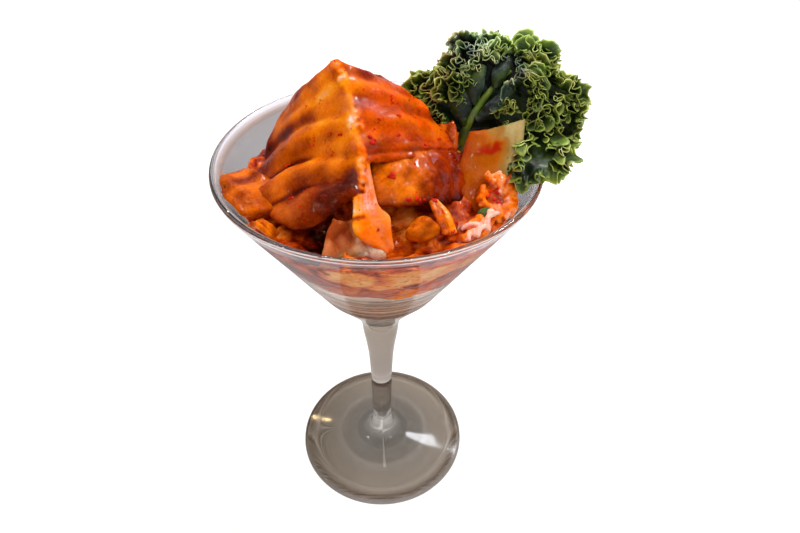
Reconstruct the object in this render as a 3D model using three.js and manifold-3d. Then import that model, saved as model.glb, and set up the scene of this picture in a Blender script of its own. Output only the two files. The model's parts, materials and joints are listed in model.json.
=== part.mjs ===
// Cabbage kimchi heaped in a stemmed cocktail glass, with a curly kale leaf over the rim.
// Millimetres, +Z up. The origin is the centre of the underside of the glass foot.
// The diner's side is -Y. Kimchi fills the upper part of the cone, and a folded leaf tops it.
import * as THREE from 'three';
import { mergeVertices } from 'three/addons/utils/BufferGeometryUtils.js';
import Module from 'manifold-3d';

// ---- Driving dimensions of the glass
const GLASS_HEIGHT = 160.7;
const RIM_RADIUS = 55;
const RIM_BEAD_RADIUS = 1.05;
const CONE_BASE_Z = 106;
const CONE_BASE_RADIUS = 23.6;
const WALL = 1.6;
const FOOT_RADIUS = 38;
const FOOT_EDGE = 2.9;
const STEM_RADIUS = 4.2;
const STEM_TOP_Z = 76.5;
const BOWL_FLOOR_Z = 92;
const GLASS_SIDES = 34;

// ---- Driving dimensions of the food
const CUT_MARGIN = 0.42; // how far pieces that touch are cut clear of each other, for a gap of 0.3 or more
const LEAF_THICKNESS = 2.2;
const STALK_THICKNESS = 3.4;
const BED_RIM_Z = 150.5; // where the packed kimchi meets the wall
const BED_TOP_Z = 178; // under the peak of the folded leaf
const BED_FLOOR_Z = 120;
const KALE_THICKNESS = 1.9; // measured square to the leaf's plane
const KALE_RUFFLES = 21;

const CONE_SLOPE = (RIM_RADIUS - CONE_BASE_RADIUS) / (GLASS_HEIGHT - CONE_BASE_Z);
const WALL_ACROSS = WALL * Math.hypot(1, CONE_SLOPE);

const wasm = await Module();
wasm.setup();

const vector = ([x, y, z]) => new THREE.Vector3(x, y, z);
const smoothStep = (low, high, value) => THREE.MathUtils.smoothstep(value, low, high);

// Radius of the inside of the cone at a height.
function innerRadius(z) {
  return CONE_BASE_RADIUS + CONE_SLOPE * (z - CONE_BASE_Z) - WALL_ACROSS;
}

// A smooth curve through points, as a function of 0..1.
function curveThrough(points) {
  const curve = new THREE.CatmullRomCurve3(points.map(vector), false, 'catmullrom', 0.5);
  return (along) => curve.getPoint(along);
}

// ---- Solids from surfaces

function indexedGeometry(points, faces) {
  const geometry = new THREE.BufferGeometry();
  const positions = points.flatMap((point) => [point.x, point.y, point.z]);
  geometry.setAttribute('position', new THREE.Float32BufferAttribute(positions, 3));
  geometry.setIndex(faces.flat());
  return geometry;
}

// Unit normals of a grid of points, row by row.
function gridNormals(grid) {
  const rows = grid.length;
  const columns = grid[0].length;
  return grid.map((row, i) => row.map((_, j) => {
    const down = grid[Math.min(i + 1, rows - 1)][j].clone().sub(grid[Math.max(i - 1, 0)][j]);
    const right = row[Math.min(j + 1, columns - 1)].clone().sub(row[Math.max(j - 1, 0)]);
    return down.cross(right).normalize();
  }));
}

// A leaf of even thickness over a surface: two faces with the same triangles, and a rim between.
function leafSolid(surface, { across, along, thickness = LEAF_THICKNESS, edge = 0.45 }) {
  const grid = Array.from({ length: across + 1 }, (_, i) => (
    Array.from({ length: along + 1 }, (__, j) => surface(i / across, j / along))));
  const normals = gridNormals(grid);
  const half = (i, j) => {
    const onEdge = i === 0 || j === 0 || i === across || j === along;
    return (onEdge ? edge : 1) * thickness / 2;
  };
  const face = (side) => grid.flatMap((row, i) => row.map((point, j) => (
    point.clone().addScaledVector(normals[i][j], side * half(i, j)))));
  const count = (across + 1) * (along + 1);
  const at = (i, j) => i * (along + 1) + j;
  const faces = [];
  for (let i = 0; i < across; i += 1) {
    for (let j = 0; j < along; j += 1) {
      const [a, b, c, d] = [at(i, j), at(i + 1, j), at(i + 1, j + 1), at(i, j + 1)];
      faces.push([a, b, c], [a, c, d]);
      faces.push([a + count, c + count, b + count], [a + count, d + count, c + count]);
    }
  }
  const border = [
    ...Array.from({ length: across }, (_, i) => at(i, 0)),
    ...Array.from({ length: along }, (_, j) => at(across, j)),
    ...Array.from({ length: across }, (_, i) => at(across - i, along)),
    ...Array.from({ length: along }, (_, j) => at(0, along - j)),
  ];
  border.forEach((here, k) => {
    const next = border[(k + 1) % border.length];
    faces.push([here, here + count, next + count], [here, next + count, next]);
  });
  return indexedGeometry([...face(1), ...face(-1)], faces);
}

// A surface lofted over guide curves from the midrib (u = 0) to the hem (u = 1). Its furrows deepen
// towards the hem and notch it; each falls gently from one side and rises steeply on the other.
function loftedSurface(guides, furrows = []) {
  const curves = guides.map(curveThrough);
  const plain = (u, v) => {
    const across = new THREE.CatmullRomCurve3(curves.map((curve) => curve(v)), false, 'catmullrom', 0.5);
    return across.getPoint(u);
  };
  return (u, v) => {
    let [depth, reach] = [0, u];
    furrows.forEach(({ from, to, gentle, steep, deep, notch = 0 }) => {
      const past = v - (from + (to - from) * u);
      const offset = past / (past < 0 ? gentle : steep);
      const share = smoothStep(0.02, 0.5, u) * Math.exp(-offset * offset);
      depth += deep * share;
      reach -= notch * u * share;
    });
    const point = plain(reach, v);
    const step = 0.02;
    const du = plain(Math.min(u + step, 1), v).sub(plain(Math.max(u - step, 0), v));
    const dv = plain(u, Math.min(v + step, 1)).sub(plain(u, Math.max(v - step, 0)));
    const normal = du.cross(dv).normalize();
    return point.addScaledVector(normal, -depth);
  };
}

// A strip along a path, with its width at even stations, arched across and rippled along.
function stripSurface({ path, widths, side, arch = 0, ripple = 0, ripples = 2 }) {
  const centre = curveThrough(path);
  const width = curveThrough(widths.map((value) => [value, 0, 0]));
  return (u, v) => {
    const ahead = centre(Math.min(v + 0.02, 1)).sub(centre(Math.max(v - 0.02, 0))).normalize();
    const sideways = vector(side).addScaledVector(ahead, -vector(side).dot(ahead)).normalize();
    const up = sideways.clone().cross(ahead);
    const bow = arch * (1 - (2 * u - 1) ** 2) + ripple * Math.sin(2 * Math.PI * ripples * v + 2 * u);
    return centre(v).addScaledVector(sideways, (u - 0.5) * width(v).x).addScaledVector(up, bow);
  };
}

// A rounded chunk with low lumps.
function chunkSolid({ centre, radii, turn = [0, 0, 0], lumps = 0.12, phase = 0, detail = 3 }) {
  const sphere = new THREE.IcosahedronGeometry(1, detail);
  sphere.deleteAttribute('normal');
  sphere.deleteAttribute('uv');
  const chunk = mergeVertices(sphere, 1e-4);
  const position = chunk.attributes.position;
  const rotation = new THREE.Euler(...turn);
  for (let i = 0; i < position.count; i += 1) {
    const point = new THREE.Vector3().fromBufferAttribute(position, i);
    const bump = Math.sin(3.1 * point.x + phase) * Math.sin(2.7 * point.y + 2 * phase)
      + Math.sin(4.3 * point.z + 3 * phase) * 0.6;
    point.multiplyScalar(1 + lumps * bump).multiply(vector(radii));
    point.applyEuler(rotation).add(vector(centre));
    position.setXYZ(i, point.x, point.y, point.z);
  }
  return chunk;
}

// A round tapered stem along a path.
function stemSolid(path, radii, sides = 7, steps = 12) {
  const centre = curveThrough(path);
  const radius = curveThrough(radii.map((value) => [value, 0, 0]));
  const points = [];
  for (let i = 0; i <= steps; i += 1) {
    const along = i / steps;
    const ahead = centre(Math.min(along + 0.02, 1)).sub(centre(Math.max(along - 0.02, 0))).normalize();
    const sideways = new THREE.Vector3(1, 0, 0).addScaledVector(ahead, -ahead.x).normalize();
    const up = ahead.clone().cross(sideways);
    for (let j = 0; j < sides; j += 1) {
      const angle = (2 * Math.PI * j) / sides;
      points.push(centre(along)
        .addScaledVector(sideways, radius(along).x * Math.cos(angle))
        .addScaledVector(up, radius(along).x * Math.sin(angle)));
    }
  }
  points.push(centre(0), centre(1));
  const [tail, tip] = [points.length - 2, points.length - 1];
  const faces = [];
  for (let j = 0; j < sides; j += 1) {
    const next = (j + 1) % sides;
    for (let i = 0; i < steps; i += 1) {
      const [a, b] = [i * sides + j, i * sides + next];
      faces.push([a, b, b + sides], [a, b + sides, a + sides]);
    }
    faces.push([tail, next, j], [tip, steps * sides + j, steps * sides + next]);
  }
  return indexedGeometry(points, faces);
}

// ---- Joins and cuts

function merged(geometry) {
  const bare = geometry.clone();
  bare.deleteAttribute('normal');
  bare.deleteAttribute('uv');
  return mergeVertices(bare, 1e-4);
}

function toSolid(geometry) {
  const mesh = merged(geometry);
  const vertProperties = new Float32Array(mesh.attributes.position.array);
  const triVerts = new Uint32Array(mesh.index.array);
  return new wasm.Manifold(new wasm.Mesh({ numProp: 3, vertProperties, triVerts }));
}

function toGeometry(solid) {
  const mesh = solid.getMesh();
  const geometry = new THREE.BufferGeometry();
  geometry.setAttribute('position', new THREE.BufferAttribute(new Float32Array(mesh.vertProperties), 3));
  geometry.setIndex(new THREE.BufferAttribute(new Uint32Array(mesh.triVerts), 1));
  return geometry;
}

// The largest of a geometry's separate bodies, so that a cut leaves no crumbs.
function largestBody(geometry) {
  const index = geometry.index.array;
  const parent = Array.from({ length: geometry.attributes.position.count }, (_, i) => i);
  const root = (i) => {
    let top = i;
    while (parent[top] !== top) top = parent[top];
    parent[i] = top;
    return top;
  };
  for (let k = 0; k < index.length; k += 3) {
    parent[root(index[k])] = root(index[k + 1]);
    parent[root(index[k + 1])] = root(index[k + 2]);
  }
  const bodies = new Map();
  for (let k = 0; k < index.length; k += 3) {
    const body = root(index[k]);
    if (!bodies.has(body)) bodies.set(body, []);
    bodies.get(body).push(index[k], index[k + 1], index[k + 2]);
  }
  const [largest] = [...bodies.values()].sort((a, b) => b.length - a.length);
  const kept = geometry.clone();
  kept.setIndex(largest);
  return kept;
}

// The same piece with its skin moved outwards, to cut its neighbours with a gap.
function swollen(geometry, amount) {
  const mesh = merged(geometry);
  mesh.computeVertexNormals();
  const { position, normal } = mesh.attributes;
  for (let i = 0; i < position.count; i += 1) {
    const point = new THREE.Vector3().fromBufferAttribute(position, i);
    point.addScaledVector(new THREE.Vector3().fromBufferAttribute(normal, i), amount);
    position.setXYZ(i, point.x, point.y, point.z);
  }
  return mesh;
}

// A piece of food: its parts joined, then cut clear of the pieces that it lies against.
function piece(parts, neighbours = []) {
  const whole = parts.map(toSolid).reduce((solid, part) => solid.add(part));
  const cut = neighbours.flatMap((neighbour) => neighbour.parts)
    .reduce((solid, part) => solid.subtract(toSolid(swollen(part, CUT_MARGIN))), whole);
  return { parts, geometry: largestBody(toGeometry(cut)) };
}

// ---- The glass: foot, drawn stem and cone in one turned piece

function glassProfile() {
  const smooth = (points, steps) => new THREE.SplineCurve(
    points.map(([x, y]) => new THREE.Vector2(x, y))).getPoints(steps);
  const foot = smooth([[FOOT_RADIUS - 0.6, FOOT_EDGE], [24, 4.6], [12, 7.2], [7, 9.5], [5, 13],
    [STEM_RADIUS, 18]], 9);
  const stem = smooth([[STEM_RADIUS, 18], [4.56, 41.5], [5.36, 61.5], [7.2, STEM_TOP_Z]], 4);
  const shoulder = smooth([[7.2, STEM_TOP_Z], [8.5, 84.5], [13.9, 93.4],
    [CONE_BASE_RADIUS, CONE_BASE_Z]], 6);
  const beadZ = GLASS_HEIGHT - RIM_BEAD_RADIUS;
  const beadRadius = RIM_RADIUS - RIM_BEAD_RADIUS;
  const bead = Array.from({ length: 6 }, (_, i) => {
    const angle = (Math.PI * i) / 5;
    return new THREE.Vector2(beadRadius + RIM_BEAD_RADIUS * Math.cos(angle),
      beadZ + RIM_BEAD_RADIUS * Math.sin(angle));
  });
  const innerFoot = [innerRadius(CONE_BASE_Z), CONE_BASE_Z];
  const cup = smooth([innerFoot, [13, 97], [6.5, 93], [0, BOWL_FLOOR_Z]], 6);
  return [
    new THREE.Vector2(0, 0),
    new THREE.Vector2(FOOT_RADIUS - 1.2, 0),
    new THREE.Vector2(FOOT_RADIUS, 1.3),
    ...foot,
    ...stem.slice(1),
    ...shoulder.slice(1),
    new THREE.Vector2(RIM_RADIUS - 0.45, GLASS_HEIGHT - 2.2),
    ...bead,
    ...cup,
  ];
}

const glass = piece([new THREE.LatheGeometry(glassProfile(), GLASS_SIDES).rotateX(Math.PI / 2)]);

// ---- The folded leaf: one big leaf bent over its midrib, with the cut stalk at its front end

const leftBlade = leafSolid(loftedSurface([
  [[-12.7, 4, 192], [-8.8, -3, 186.6], [-6.9, -11, 180.1], [-5.1, -19, 173.9], [-3.9, -29, 165.6]],
  [[-20.6, 9, 184.6], [-24.3, 5, 175.2], [-24.8, -2, 170.9], [-25.6, -11, 165], [-11.2, -33, 163]],
  [[-26.5, 14, 176.7], [-36.2, 12, 163.4], [-41.7, 6, 152.1], [-40.1, -17, 156.5], [-17.2, -38, 156.7]],
], [
  { from: 0.45, to: 0.47, gentle: 0.08, steep: 0.05, deep: 1.8 },
  { from: 0.78, to: 0.7, gentle: 0.09, steep: 0.03, deep: 4, notch: 0.08 },
  { from: 0.96, to: 0.87, gentle: 0.06, steep: 0.03, deep: 3, notch: 0.1 },
]), { across: 9, along: 24 });

const rightBlade = leafSolid(loftedSurface([
  [[-12.7, 4, 192], [-8.4, -4, 185.6], [-6.1, -13, 178.4], [-4.2, -20, 172.7]],
  [[-5.5, 6, 187.8], [0.9, 2, 181.6], [6, -5, 176.7], [8.2, -14, 170.3]],
  [[0.7, 14, 182], [13.2, 12, 173.6], [21.5, 6, 164.9], [25.9, -2, 163.1]],
], [
  { from: 0.3, to: 0.45, gentle: 0.1, steep: 0.08, deep: 1 },
  { from: 0.62, to: 0.78, gentle: 0.08, steep: 0.06, deep: 1.2 },
]), { across: 8, along: 10 });

const frontStalk = leafSolid(stripSurface({
  path: [[-4.2, -22.5, 169], [-3.6, -31, 164.1], [-1.8, -36.8, 160.9], [1.4, -40.6, 158], [3.3, -43.6, 155]],
  widths: [3.4, 5.2, 11.4, 6.5, 1.6],
  side: [1, 0, 0],
  arch: 1.2,
}), { across: 4, along: 10, thickness: 2.6 });

function chiliFlake(centre, size, phase) {
  return chunkSolid({ centre, radii: [size, size * 0.8, size * 0.45], lumps: 0.18, phase, detail: 0 });
}

const foldedLeaf = piece([leftBlade, rightBlade, frontStalk, chiliFlake([-0.6, -17.6, 173.6], 1.9, 1)]);

// ---- Leaves and scraps that lie under and round the folded leaf

const underBlade = leafSolid(loftedSurface([
  [[-1.7, -14, 167.3], [7, -13, 167.2], [16.8, -8, 164.7], [27.3, -2, 162.3]],
  [[-1.8, -23.5, 164.4], [6.7, -22, 164.4], [17.4, -17, 164.5], [29, -8, 161.1]],
  [[-1.3, -30, 161.4], [6.4, -30, 160.8], [15.6, -27, 160.3], [28.3, -13, 157.9]],
]), { across: 7, along: 12 });

const underLeaf = piece([
  underBlade,
  chiliFlake([4.6, -21.4, 166], 1.8, 2),
  chiliFlake([13.4, -29.2, 162.2], 1.9, 3),
], [foldedLeaf]);

const backLeaf = piece([leafSolid(loftedSurface([
  [[-18, 8, 177], [-10, 4.5, 185.5], [0, 8, 178.5], [12, 8, 169]],
  [[-21, 20, 163], [-9, 21, 172], [5, 21, 167], [17, 18, 159]],
  [[-19, 31, 150.5], [-6, 36, 151.5], [8, 36, 151.5], [21, 28, 150.5]],
], [
  { from: 0.35, to: 0.3, gentle: 0.1, steep: 0.06, deep: 2 },
  { from: 0.6, to: 0.72, gentle: 0.08, steep: 0.06, deep: 1.8 },
]), { across: 8, along: 12 })], [foldedLeaf]);

const paleLeafBase = piece([leafSolid(stripSurface({
  path: [[-9.6, -34, 160.4], [-9, -39.2, 157.4], [-7.7, -44.4, 153.6], [-7.4, -43.6, 148.4]],
  widths: [4, 12, 19.5, 17],
  side: [1, 0.06, 0],
  arch: 3,
}), { across: 8, along: 8 })], [glass, foldedLeaf]);

const rimLeaf = piece([leafSolid(stripSurface({
  path: [[-36, -7, 155], [-43, -14.5, 157.2], [-49, -18.8, 159]],
  widths: [18, 21, 5],
  side: [-0.1, 1, 0.02],
  arch: 1.4,
  ripple: 0.5,
}), { across: 6, along: 8 })], [glass, foldedLeaf]);

const leafCurl = piece([leafSolid(stripSurface({
  path: [[-40, -28.6, 156.6], [-36.8, -29.6, 158.2], [-33.4, -32, 156], [-29.6, -30.6, 151.6]],
  widths: [5, 6, 5, 4],
  side: [0.3, 0.8, -0.4],
  arch: 1.6,
}), { across: 4, along: 6, thickness: 1.6 })], [glass, foldedLeaf, rimLeaf]);

const cabbageStalk = piece([leafSolid(stripSurface({
  path: [[39, 5, 171], [36, -7, 163.4], [33.2, -15, 157.4], [30.6, -22.5, 151.5]],
  widths: [19.5, 20, 18, 14],
  side: [0.98, 0.15, 0.13],
  arch: 1.8,
}), { across: 6, along: 9, thickness: STALK_THICKNESS })], [glass, foldedLeaf, underLeaf]);

const leafTab = piece([leafSolid(stripSurface({
  path: [[25.4, 9.6, 166.3], [26, 6, 163.4], [25.2, 2, 160.6]],
  widths: [6.5, 7, 6],
  side: [1, -0.1, 0.1],
  arch: 1,
}), { across: 4, along: 5, thickness: 1.8 })], [foldedLeaf, underLeaf, cabbageStalk]);

const leafStrip = piece([leafSolid(stripSurface({
  path: [[18, -27.5, 160.8], [19.8, -32, 158.6], [21.4, -36.4, 155.4]],
  widths: [5.4, 6, 4.8],
  side: [0.86, 0.3, -0.4],
  arch: 0.9,
}), { across: 4, along: 6 })], [foldedLeaf, underLeaf]);

const leafChunk = piece([chunkSolid({
  centre: [12.4, -35.4, 156.8], radii: [4.2, 3.2, 5.4], turn: [0.5, 0, 0], phase: 0.6, detail: 2,
})], [foldedLeaf, underLeaf, leafStrip]);

// A clump of shreds stuck together: short strips laid over a core at turns of their own.
function shredClump({ centre, radii, turn, shreds, spread, phase }) {
  const rotation = new THREE.Euler(...turn);
  const parts = [chunkSolid({ centre, radii, turn, phase, detail: 1 })];
  for (let k = 0; k < shreds; k += 1) {
    const share = k / (shreds - 1) - 0.5;
    const angle = spread * share + 0.3 * Math.sin(phase + 5 * k);
    const length = radii[1] * (0.75 + 0.15 * Math.sin(phase + 3 * k));
    const ahead = new THREE.Vector3(Math.sin(angle), Math.cos(angle), 0);
    const across = new THREE.Vector3(Math.cos(angle), -Math.sin(angle), 0.5 * Math.sin(phase + 2 * k));
    const middle = new THREE.Vector3(share * radii[0], 0, radii[2] * 0.95);
    const path = [-1, 0, 1].map((end) => middle.clone()
      .addScaledVector(ahead, end * length)
      .add(new THREE.Vector3(0, 0, -0.7 * end * end * radii[2]))
      .applyEuler(rotation).add(vector(centre)).toArray());
    const side = across.applyEuler(rotation).toArray();
    parts.push(leafSolid(stripSurface({ path, widths: [1.8, 2.6, 1.6], side, arch: 0.5 }),
      { across: 1, along: 4, thickness: 1.5, edge: 1 }));
  }
  return parts;
}

const seasoningClump = piece([
  ...shredClump({
    centre: [38.6, -17.8, 154.2], radii: [5.8, 8.4, 3.4], turn: [0.66, 0.1, 0.12], shreds: 5, spread: 1.6,
    phase: 1.2,
  }),
  chiliFlake([36.8, -19.6, 158.2], 2.4, 4),
], [glass, cabbageStalk]);

const paleChunk = piece(shredClump({
  centre: [31, -30.6, 151.6], radii: [3.4, 7.2, 2.8], turn: [0, -0.3, -0.86], shreds: 3, spread: 0.4,
  phase: 0.4,
}), [glass, cabbageStalk, seasoningClump, leafStrip]);

const greenOnion = piece([chunkSolid({
  centre: [33, -25.4, 154.6], radii: [2.4, 1.6, 1.4], turn: [0.3, 0.2, 0.5], phase: 2, detail: 1,
})], [cabbageStalk, seasoningClump, paleChunk]);

// ---- The kale leaf: a curly blade facing the diner, spread over the rim from a bare stem

const KALE_ORIGIN = vector([45, 10, 175]);
const KALE_FACING = vector([-0.198, -0.872, 0.449]).normalize();
const KALE_RIGHT = new THREE.Vector3(0, 0, 1).cross(KALE_FACING).normalize();
const KALE_UP = KALE_FACING.clone().cross(KALE_RIGHT);
const KALE_MIDDLE = [4, 2];
// The blade's reach from its middle, by angle in degrees from the leaf's right, counted upwards.
const KALE_REACH = [[-84, 28], [-67, 27.5], [-51, 28.5], [-30, 24], [4, 20], [40, 18.5], [65, 16],
  [78, 19], [103, 17.5], [126, 24], [148, 31.5], [166, 33.5], [182, 40], [194, 34], [216, 25],
  [232, 20], [250, 14], [264, 19]];

// How far the leaf's plane bows towards the diner.
function kaleBow(a, b) {
  const low = smoothStep(8, 22, -b);
  const side = smoothStep(-8, 6, a);
  const back = 6 * (Math.max(b, 0) / 22) ** 2;
  return -3 - back + 20 * low * side - 5 * low * (1 - side);
}

function kalePoint(a, b, forward = 0) {
  return KALE_ORIGIN.clone()
    .addScaledVector(KALE_RIGHT, a)
    .addScaledVector(KALE_UP, b)
    .addScaledVector(KALE_FACING, kaleBow(a, b) + forward);
}

const kaleMargin = new THREE.CatmullRomCurve3(KALE_REACH.map(([degrees, reach]) => {
  const angle = THREE.MathUtils.degToRad(degrees);
  const [a, b] = KALE_MIDDLE;
  return new THREE.Vector3(a + reach * Math.cos(angle), b + reach * Math.sin(angle), 0);
}), true, 'catmullrom', 0.5);

// Flutes along the margin, and crinkles over the whole blade that flatten towards its middle.
function kaleRuffle(share, turn, a, b) {
  const flutes = Math.sin(KALE_RUFFLES * turn + 1.4 * Math.sin(3 * turn) + 0.8 * Math.sin(5 * turn));
  const crinkles = Math.sin(0.85 * a + 0.9 * Math.sin(0.5 * b)) * Math.sin(0.8 * b + Math.sin(0.6 * a));
  return 3.2 * smoothStep(0.5, 1, share) * flutes + (0.5 + 3 * share) * crinkles;
}

function kaleSolid() {
  const rings = 9;
  const spokes = 84;
  const margin = kaleMargin.getSpacedPoints(spokes).slice(0, spokes);
  const layer = (side) => {
    const points = [kalePoint(...KALE_MIDDLE, (side * KALE_THICKNESS) / 2)];
    for (let i = 1; i <= rings; i += 1) {
      const share = i / rings;
      margin.forEach((edge, j) => {
        const turn = (2 * Math.PI * j) / spokes;
        const lobes = 0.09 * Math.sin(11 * turn + Math.sin(2 * turn)) + 0.05 * Math.sin(31 * turn);
        const a = KALE_MIDDLE[0] + (edge.x - KALE_MIDDLE[0]) * share * (1 + lobes * share);
        const b = KALE_MIDDLE[1] + (edge.y - KALE_MIDDLE[1]) * share * (1 + lobes * share);
        const taper = i === rings ? 0.5 : 1;
        points.push(kalePoint(a, b, kaleRuffle(share, turn, a, b) + (side * taper * KALE_THICKNESS) / 2));
      });
    }
    return points;
  };
  const count = 1 + rings * spokes;
  const at = (i, j) => 1 + (i - 1) * spokes + (j % spokes);
  const faces = [];
  for (let j = 0; j < spokes; j += 1) {
    faces.push([0, at(1, j), at(1, j + 1)]);
    faces.push([count, count + at(1, j + 1), count + at(1, j)]);
    for (let i = 1; i < rings; i += 1) {
      const [a, b, c, d] = [at(i, j), at(i + 1, j), at(i + 1, j + 1), at(i, j + 1)];
      faces.push([a, b, c], [a, c, d]);
      faces.push([count + a, count + c, count + b], [count + a, count + d, count + c]);
    }
    const [here, next] = [at(rings, j), at(rings, j + 1)];
    faces.push([here, count + here, count + next], [here, count + next, next]);
  }
  return indexedGeometry([...layer(1), ...layer(-1)], faces);
}

const kaleStem = stemSolid([
  [28.2, 13.4, 149.5],
  kalePoint(-15.4, -16.5, -1.2).toArray(),
  kalePoint(-10.2, -4.6, 0.4).toArray(),
  kalePoint(-4.6, 4.1, 0.6).toArray(),
  kalePoint(4, 12, 0.4).toArray(),
], [1.9, 1.8, 1.5, 1.2, 0.8]);

const kaleLeaf = piece([kaleSolid(), kaleStem], [glass, cabbageStalk, foldedLeaf, leafTab]);

// ---- The packed kimchi that carries the leaves, wedged in the cone

function bedTop(x, y) {
  const peak = Math.exp(-(((x + 6) / 17) ** 2) - (((y - 2) / 16) ** 2));
  const right = Math.exp(-(((x - 22) / 16) ** 2) - (((y + 6) / 16) ** 2));
  const hollow = Math.exp(-(((x + 15) / 7) ** 2) - (((y + 34) / 6) ** 2));
  const lumps = 0.5 * Math.sin(0.55 * x + 1) * Math.sin(0.6 * y) + 0.4 * Math.sin(0.9 * x - 0.7 * y);
  return BED_RIM_Z + (BED_TOP_Z - BED_RIM_Z) * peak + 5 * right - 4 * hollow + lumps;
}

function bedSolid() {
  const spokes = 32;
  const topRings = 8;
  const sideRings = 4;
  const floorRings = 4;
  const points = [new THREE.Vector3(0, 0, bedTop(0, 0))];
  const ring = (place) => {
    for (let j = 0; j < spokes; j += 1) points.push(place((2 * Math.PI * j) / spokes));
  };
  // The heap stands a little off the wall at the front left and leans down to the right.
  const setBack = (angle) => {
    const left = Math.max(0, Math.cos(angle - 1.25 * Math.PI));
    return 0.35 + 0.6 * left ** 3 + 0.5 * (1 + Math.sin(5 * angle)) + 0.3 * (1 + Math.sin(11 * angle + 1));
  };
  const lowZ = (angle) => BED_FLOOR_Z + 11 + 5 * Math.cos(angle - 0.9 * Math.PI) + Math.sin(4 * angle);
  for (let i = 1; i <= topRings; i += 1) {
    ring((angle) => {
      const reach = (i / topRings) * (innerRadius(BED_RIM_Z) - 1.2 - setBack(angle));
      const [x, y] = [reach * Math.cos(angle), reach * Math.sin(angle)];
      return new THREE.Vector3(x, y, bedTop(x, y));
    });
  }
  for (let i = 1; i <= sideRings; i += 1) {
    ring((angle) => {
      const z = THREE.MathUtils.lerp(BED_RIM_Z - 2.5, lowZ(angle), (i - 1) / (sideRings - 1));
      const reach = innerRadius(z) - setBack(angle);
      return new THREE.Vector3(reach * Math.cos(angle), reach * Math.sin(angle), z);
    });
  }
  for (let i = 1; i < floorRings; i += 1) {
    ring((angle) => {
      const share = i / floorRings;
      const z = lowZ(angle) - 3 * Math.sin(share * Math.PI / 2) + 1.2 * Math.sin(6 * angle) * share;
      const reach = (innerRadius(lowZ(angle)) - setBack(angle)) * (1 - share);
      return new THREE.Vector3(reach * Math.cos(angle), reach * Math.sin(angle), z);
    });
  }
  points.push(new THREE.Vector3(0, 0, BED_FLOOR_Z + 6));
  const rings = topRings + sideRings + floorRings - 1;
  const at = (i, j) => 1 + i * spokes + (j % spokes);
  const faces = [];
  for (let j = 0; j < spokes; j += 1) {
    faces.push([0, at(0, j), at(0, j + 1)]);
    for (let i = 0; i < rings - 1; i += 1) {
      const [a, b, c, d] = [at(i, j), at(i + 1, j), at(i + 1, j + 1), at(i, j + 1)];
      faces.push([a, b, c], [a, c, d]);
    }
    faces.push([points.length - 1, at(rings - 1, j + 1), at(rings - 1, j)]);
  }
  return indexedGeometry(points, faces);
}

const kimchiBed = piece([bedSolid()], [foldedLeaf, underLeaf, backLeaf, paleLeafBase, rimLeaf, leafCurl,
  cabbageStalk, leafTab, leafStrip, leafChunk, seasoningClump, paleChunk, greenOnion, kaleLeaf]);

// ---- The assembly

const clearGlass = { color: 0xdfe6e6, roughness: 0.03, metalness: 0, transparent: true, opacity: 0.4 };
const leafOrange = { color: 0xc8600c, roughness: 0.25, metalness: 0 };
const stalkPale = { color: 0xd9a468, roughness: 0.25, metalness: 0 };
const seasoningRed = { color: 0x9c2c08, roughness: 0.3, metalness: 0 };
const onionGreen = { color: 0x3f6024, roughness: 0.4, metalness: 0 };
const kaleGreen = { color: 0x4c7028, roughness: 0.5, metalness: 0 };

const food = new THREE.Group();
const servedGlass = new THREE.Group();

function addPiece(group, name, { geometry }, finish) {
  const mesh = new THREE.Mesh(geometry, new THREE.MeshStandardMaterial(finish));
  mesh.name = name;
  group.add(mesh);
}

addPiece(servedGlass, 'cocktail_glass', glass, clearGlass);
addPiece(food, 'kimchi_bed', kimchiBed, seasoningRed);
addPiece(food, 'folded_leaf', foldedLeaf, leafOrange);
addPiece(food, 'under_leaf', underLeaf, leafOrange);
addPiece(food, 'back_leaf', backLeaf, leafOrange);
addPiece(food, 'pale_leaf_base', paleLeafBase, stalkPale);
addPiece(food, 'rim_leaf', rimLeaf, leafOrange);
addPiece(food, 'leaf_curl', leafCurl, leafOrange);
addPiece(food, 'cabbage_stalk', cabbageStalk, stalkPale);
addPiece(food, 'leaf_tab', leafTab, leafOrange);
addPiece(food, 'leaf_strip', leafStrip, leafOrange);
addPiece(food, 'leaf_chunk', leafChunk, leafOrange);
addPiece(food, 'seasoning_clump', seasoningClump, seasoningRed);
addPiece(food, 'pale_chunk', paleChunk, stalkPale);
addPiece(food, 'green_onion', greenOnion, onionGreen);
addPiece(food, 'kale_leaf', kaleLeaf, kaleGreen);
servedGlass.add(food);

export default servedGlass;
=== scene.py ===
import json
import math

import bmesh
import bpy
import numpy as np
from mathutils import Matrix, Vector
from mathutils.bvhtree import BVHTree
from mathutils.kdtree import KDTree

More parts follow.
